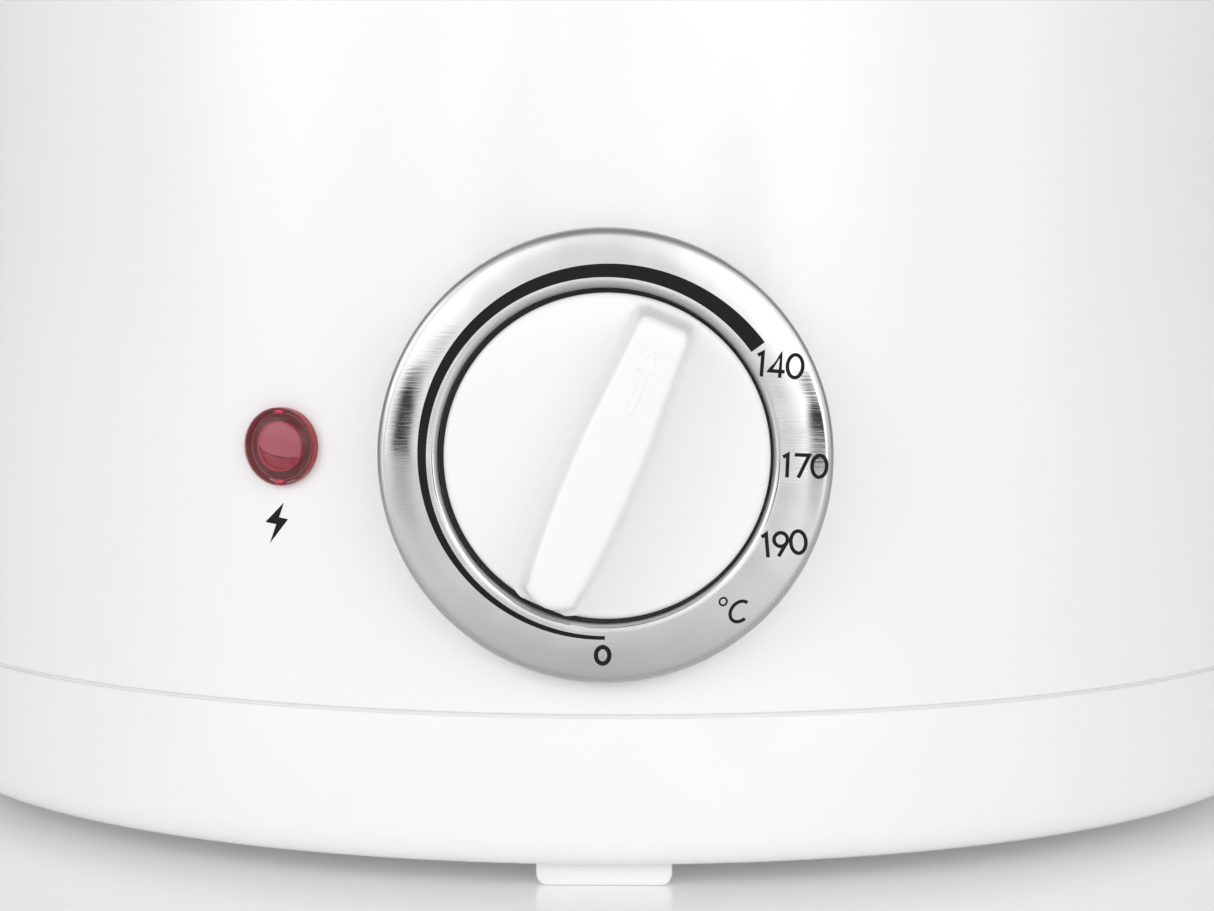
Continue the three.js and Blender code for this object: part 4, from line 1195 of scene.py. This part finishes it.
def dress_kept_nodes():
    for finish, names in KEPT.items():
        for name in names:
            node = frame["nodes"][name]
            node.data.materials.clear()
            node.data.materials.append(finish)
            if name in SOFT_EDGES:
                flat = node.modifiers.new("flat", "DECIMATE")
                flat.decimate_type, flat.angle_limit = "DISSOLVE", math.radians(1)
                edge = node.modifiers.new("edge", "BEVEL")
                edge.width, edge.segments = SOFT_EDGES[name] / 1000, 3
                edge.limit_method, edge.angle_limit = "ANGLE", math.radians(35)
                edge.harden_normals = False


# ---------- floor, light and camera ----------


def make_stage():
    mesh = bpy.data.meshes.new("floor")
    reach = 12  # metres each way
    corners = [(-reach, -reach, 0), (reach, -reach, 0), (reach, reach, 0), (-reach, reach, 0)]
    mesh.from_pydata(corners, [], [[0, 1, 2, 3]])
    mesh.materials.append(FLOOR)
    floor = bpy.data.objects.new("floor", mesh)
    bpy.context.scene.collection.objects.link(floor)


SKY = 0.35  # light from all round
GLOWS = [  # soft boxes: direction from the fryer, how bright, how wide
    ((-0.55, -0.78, 0.2), 0.7, 0.75),
    ((0.68, -0.72, 0.2), 1.7, 0.75),
    ((0.0, -0.6, 0.8), 0.1, 0.8),
    ((0.0, -1.0, 0.05), 1.0, 0.75),
    ((-0.72, -0.52, 0.35), 1.6, 0.48),
    ((0.1, 0.95, 0.3), 0.45, 1.1),
]
GAPS = [  # unlit room round the camera: direction, width and how much light is left
    ((-0.27, -0.96, -0.01), 0.17, 0.02),
    ((0.36, -0.93, 0.01), 0.15, 0.02),
    ((0.82, -0.57, 0.04), 0.28, 0.5),
    ((-0.06, -0.98, 0.2), 0.2, 0.82),
]


def make_light():
    """Light from all round: the glows add to the sky, and the gaps take light away."""
    bpy.context.scene.view_settings.view_transform = "Standard"
    world = bpy.data.worlds.new("studio")
    bpy.context.scene.world = world
    world.use_nodes = True
    tree = world.node_tree
    direction = tree.nodes.new("ShaderNodeTexCoord").outputs["Generated"]

    def spot(centre, reach, inside, outside):
        away = tree.nodes.new("ShaderNodeVectorMath")
        away.operation = "DISTANCE"
        away.inputs[1].default_value = Vector(centre).normalized()
        tree.links.new(direction, away.inputs[0])
        fade = tree.nodes.new("ShaderNodeMapRange")
        fade.interpolation_type = "SMOOTHSTEP"
        for socket, value in zip(fade.inputs[1:5], (0.4 * reach, reach, inside, outside)):
            socket.default_value = value
        tree.links.new(away.outputs["Value"], fade.inputs["Value"])
        return fade.outputs["Result"]

    def joined(operation, first, second):
        node = tree.nodes.new("ShaderNodeMath")
        node.operation = operation
        tree.links.new(first, node.inputs[0])
        tree.links.new(second, node.inputs[1])
        return node.outputs["Value"]

    glow = spot(GLOWS[0][0], GLOWS[0][2], GLOWS[0][1] + SKY, SKY)
    for centre, power, reach in GLOWS[1:]:
        glow = joined("ADD", glow, spot(centre, reach, power, 0.0))
    for centre, reach, left in GAPS:
        glow = joined("MULTIPLY", glow, spot(centre, reach, left, 1.0))
    tree.links.new(glow, tree.nodes["Background"].inputs["Strength"])
    tree.nodes["Background"].inputs["Color"].default_value = (1, 1, 1, 1)


CAMERA_LENS = 90.6
CAMERA_ASIDE, CAMERA_AHEAD, CAMERA_Z = 0.2, 418.0, 95.0  # mm: right of the middle, off the wall, up
CAMERA_DOWN, CAMERA_ROLL = 4.63, 0.2  # degrees


def make_camera():
    """A long lens a little above the dial, looking slightly down."""
    data = bpy.data.cameras.new("camera")
    data.sensor_width = 36
    data.lens = CAMERA_LENS
    data.clip_start = 0.01
    camera = bpy.data.objects.new("camera", data)
    camera.location = TO_ROW @ Vector((CAMERA_ASIDE, -BODY_R - CAMERA_AHEAD, CAMERA_Z))
    tilt = Matrix.Rotation(math.radians(90 - CAMERA_DOWN), 4, "X")
    roll = Matrix.Rotation(math.radians(CAMERA_ROLL), 4, "Z")
    camera.rotation_euler = (tilt @ roll).to_euler()
    bpy.context.scene.collection.objects.link(camera)
    bpy.context.scene.camera = camera


make_housing()
make_dial()
make_lamp()
make_latch()
make_pot_and_basket()
make_lid()
dress_kept_nodes()
make_stage()
make_light()
make_camera()
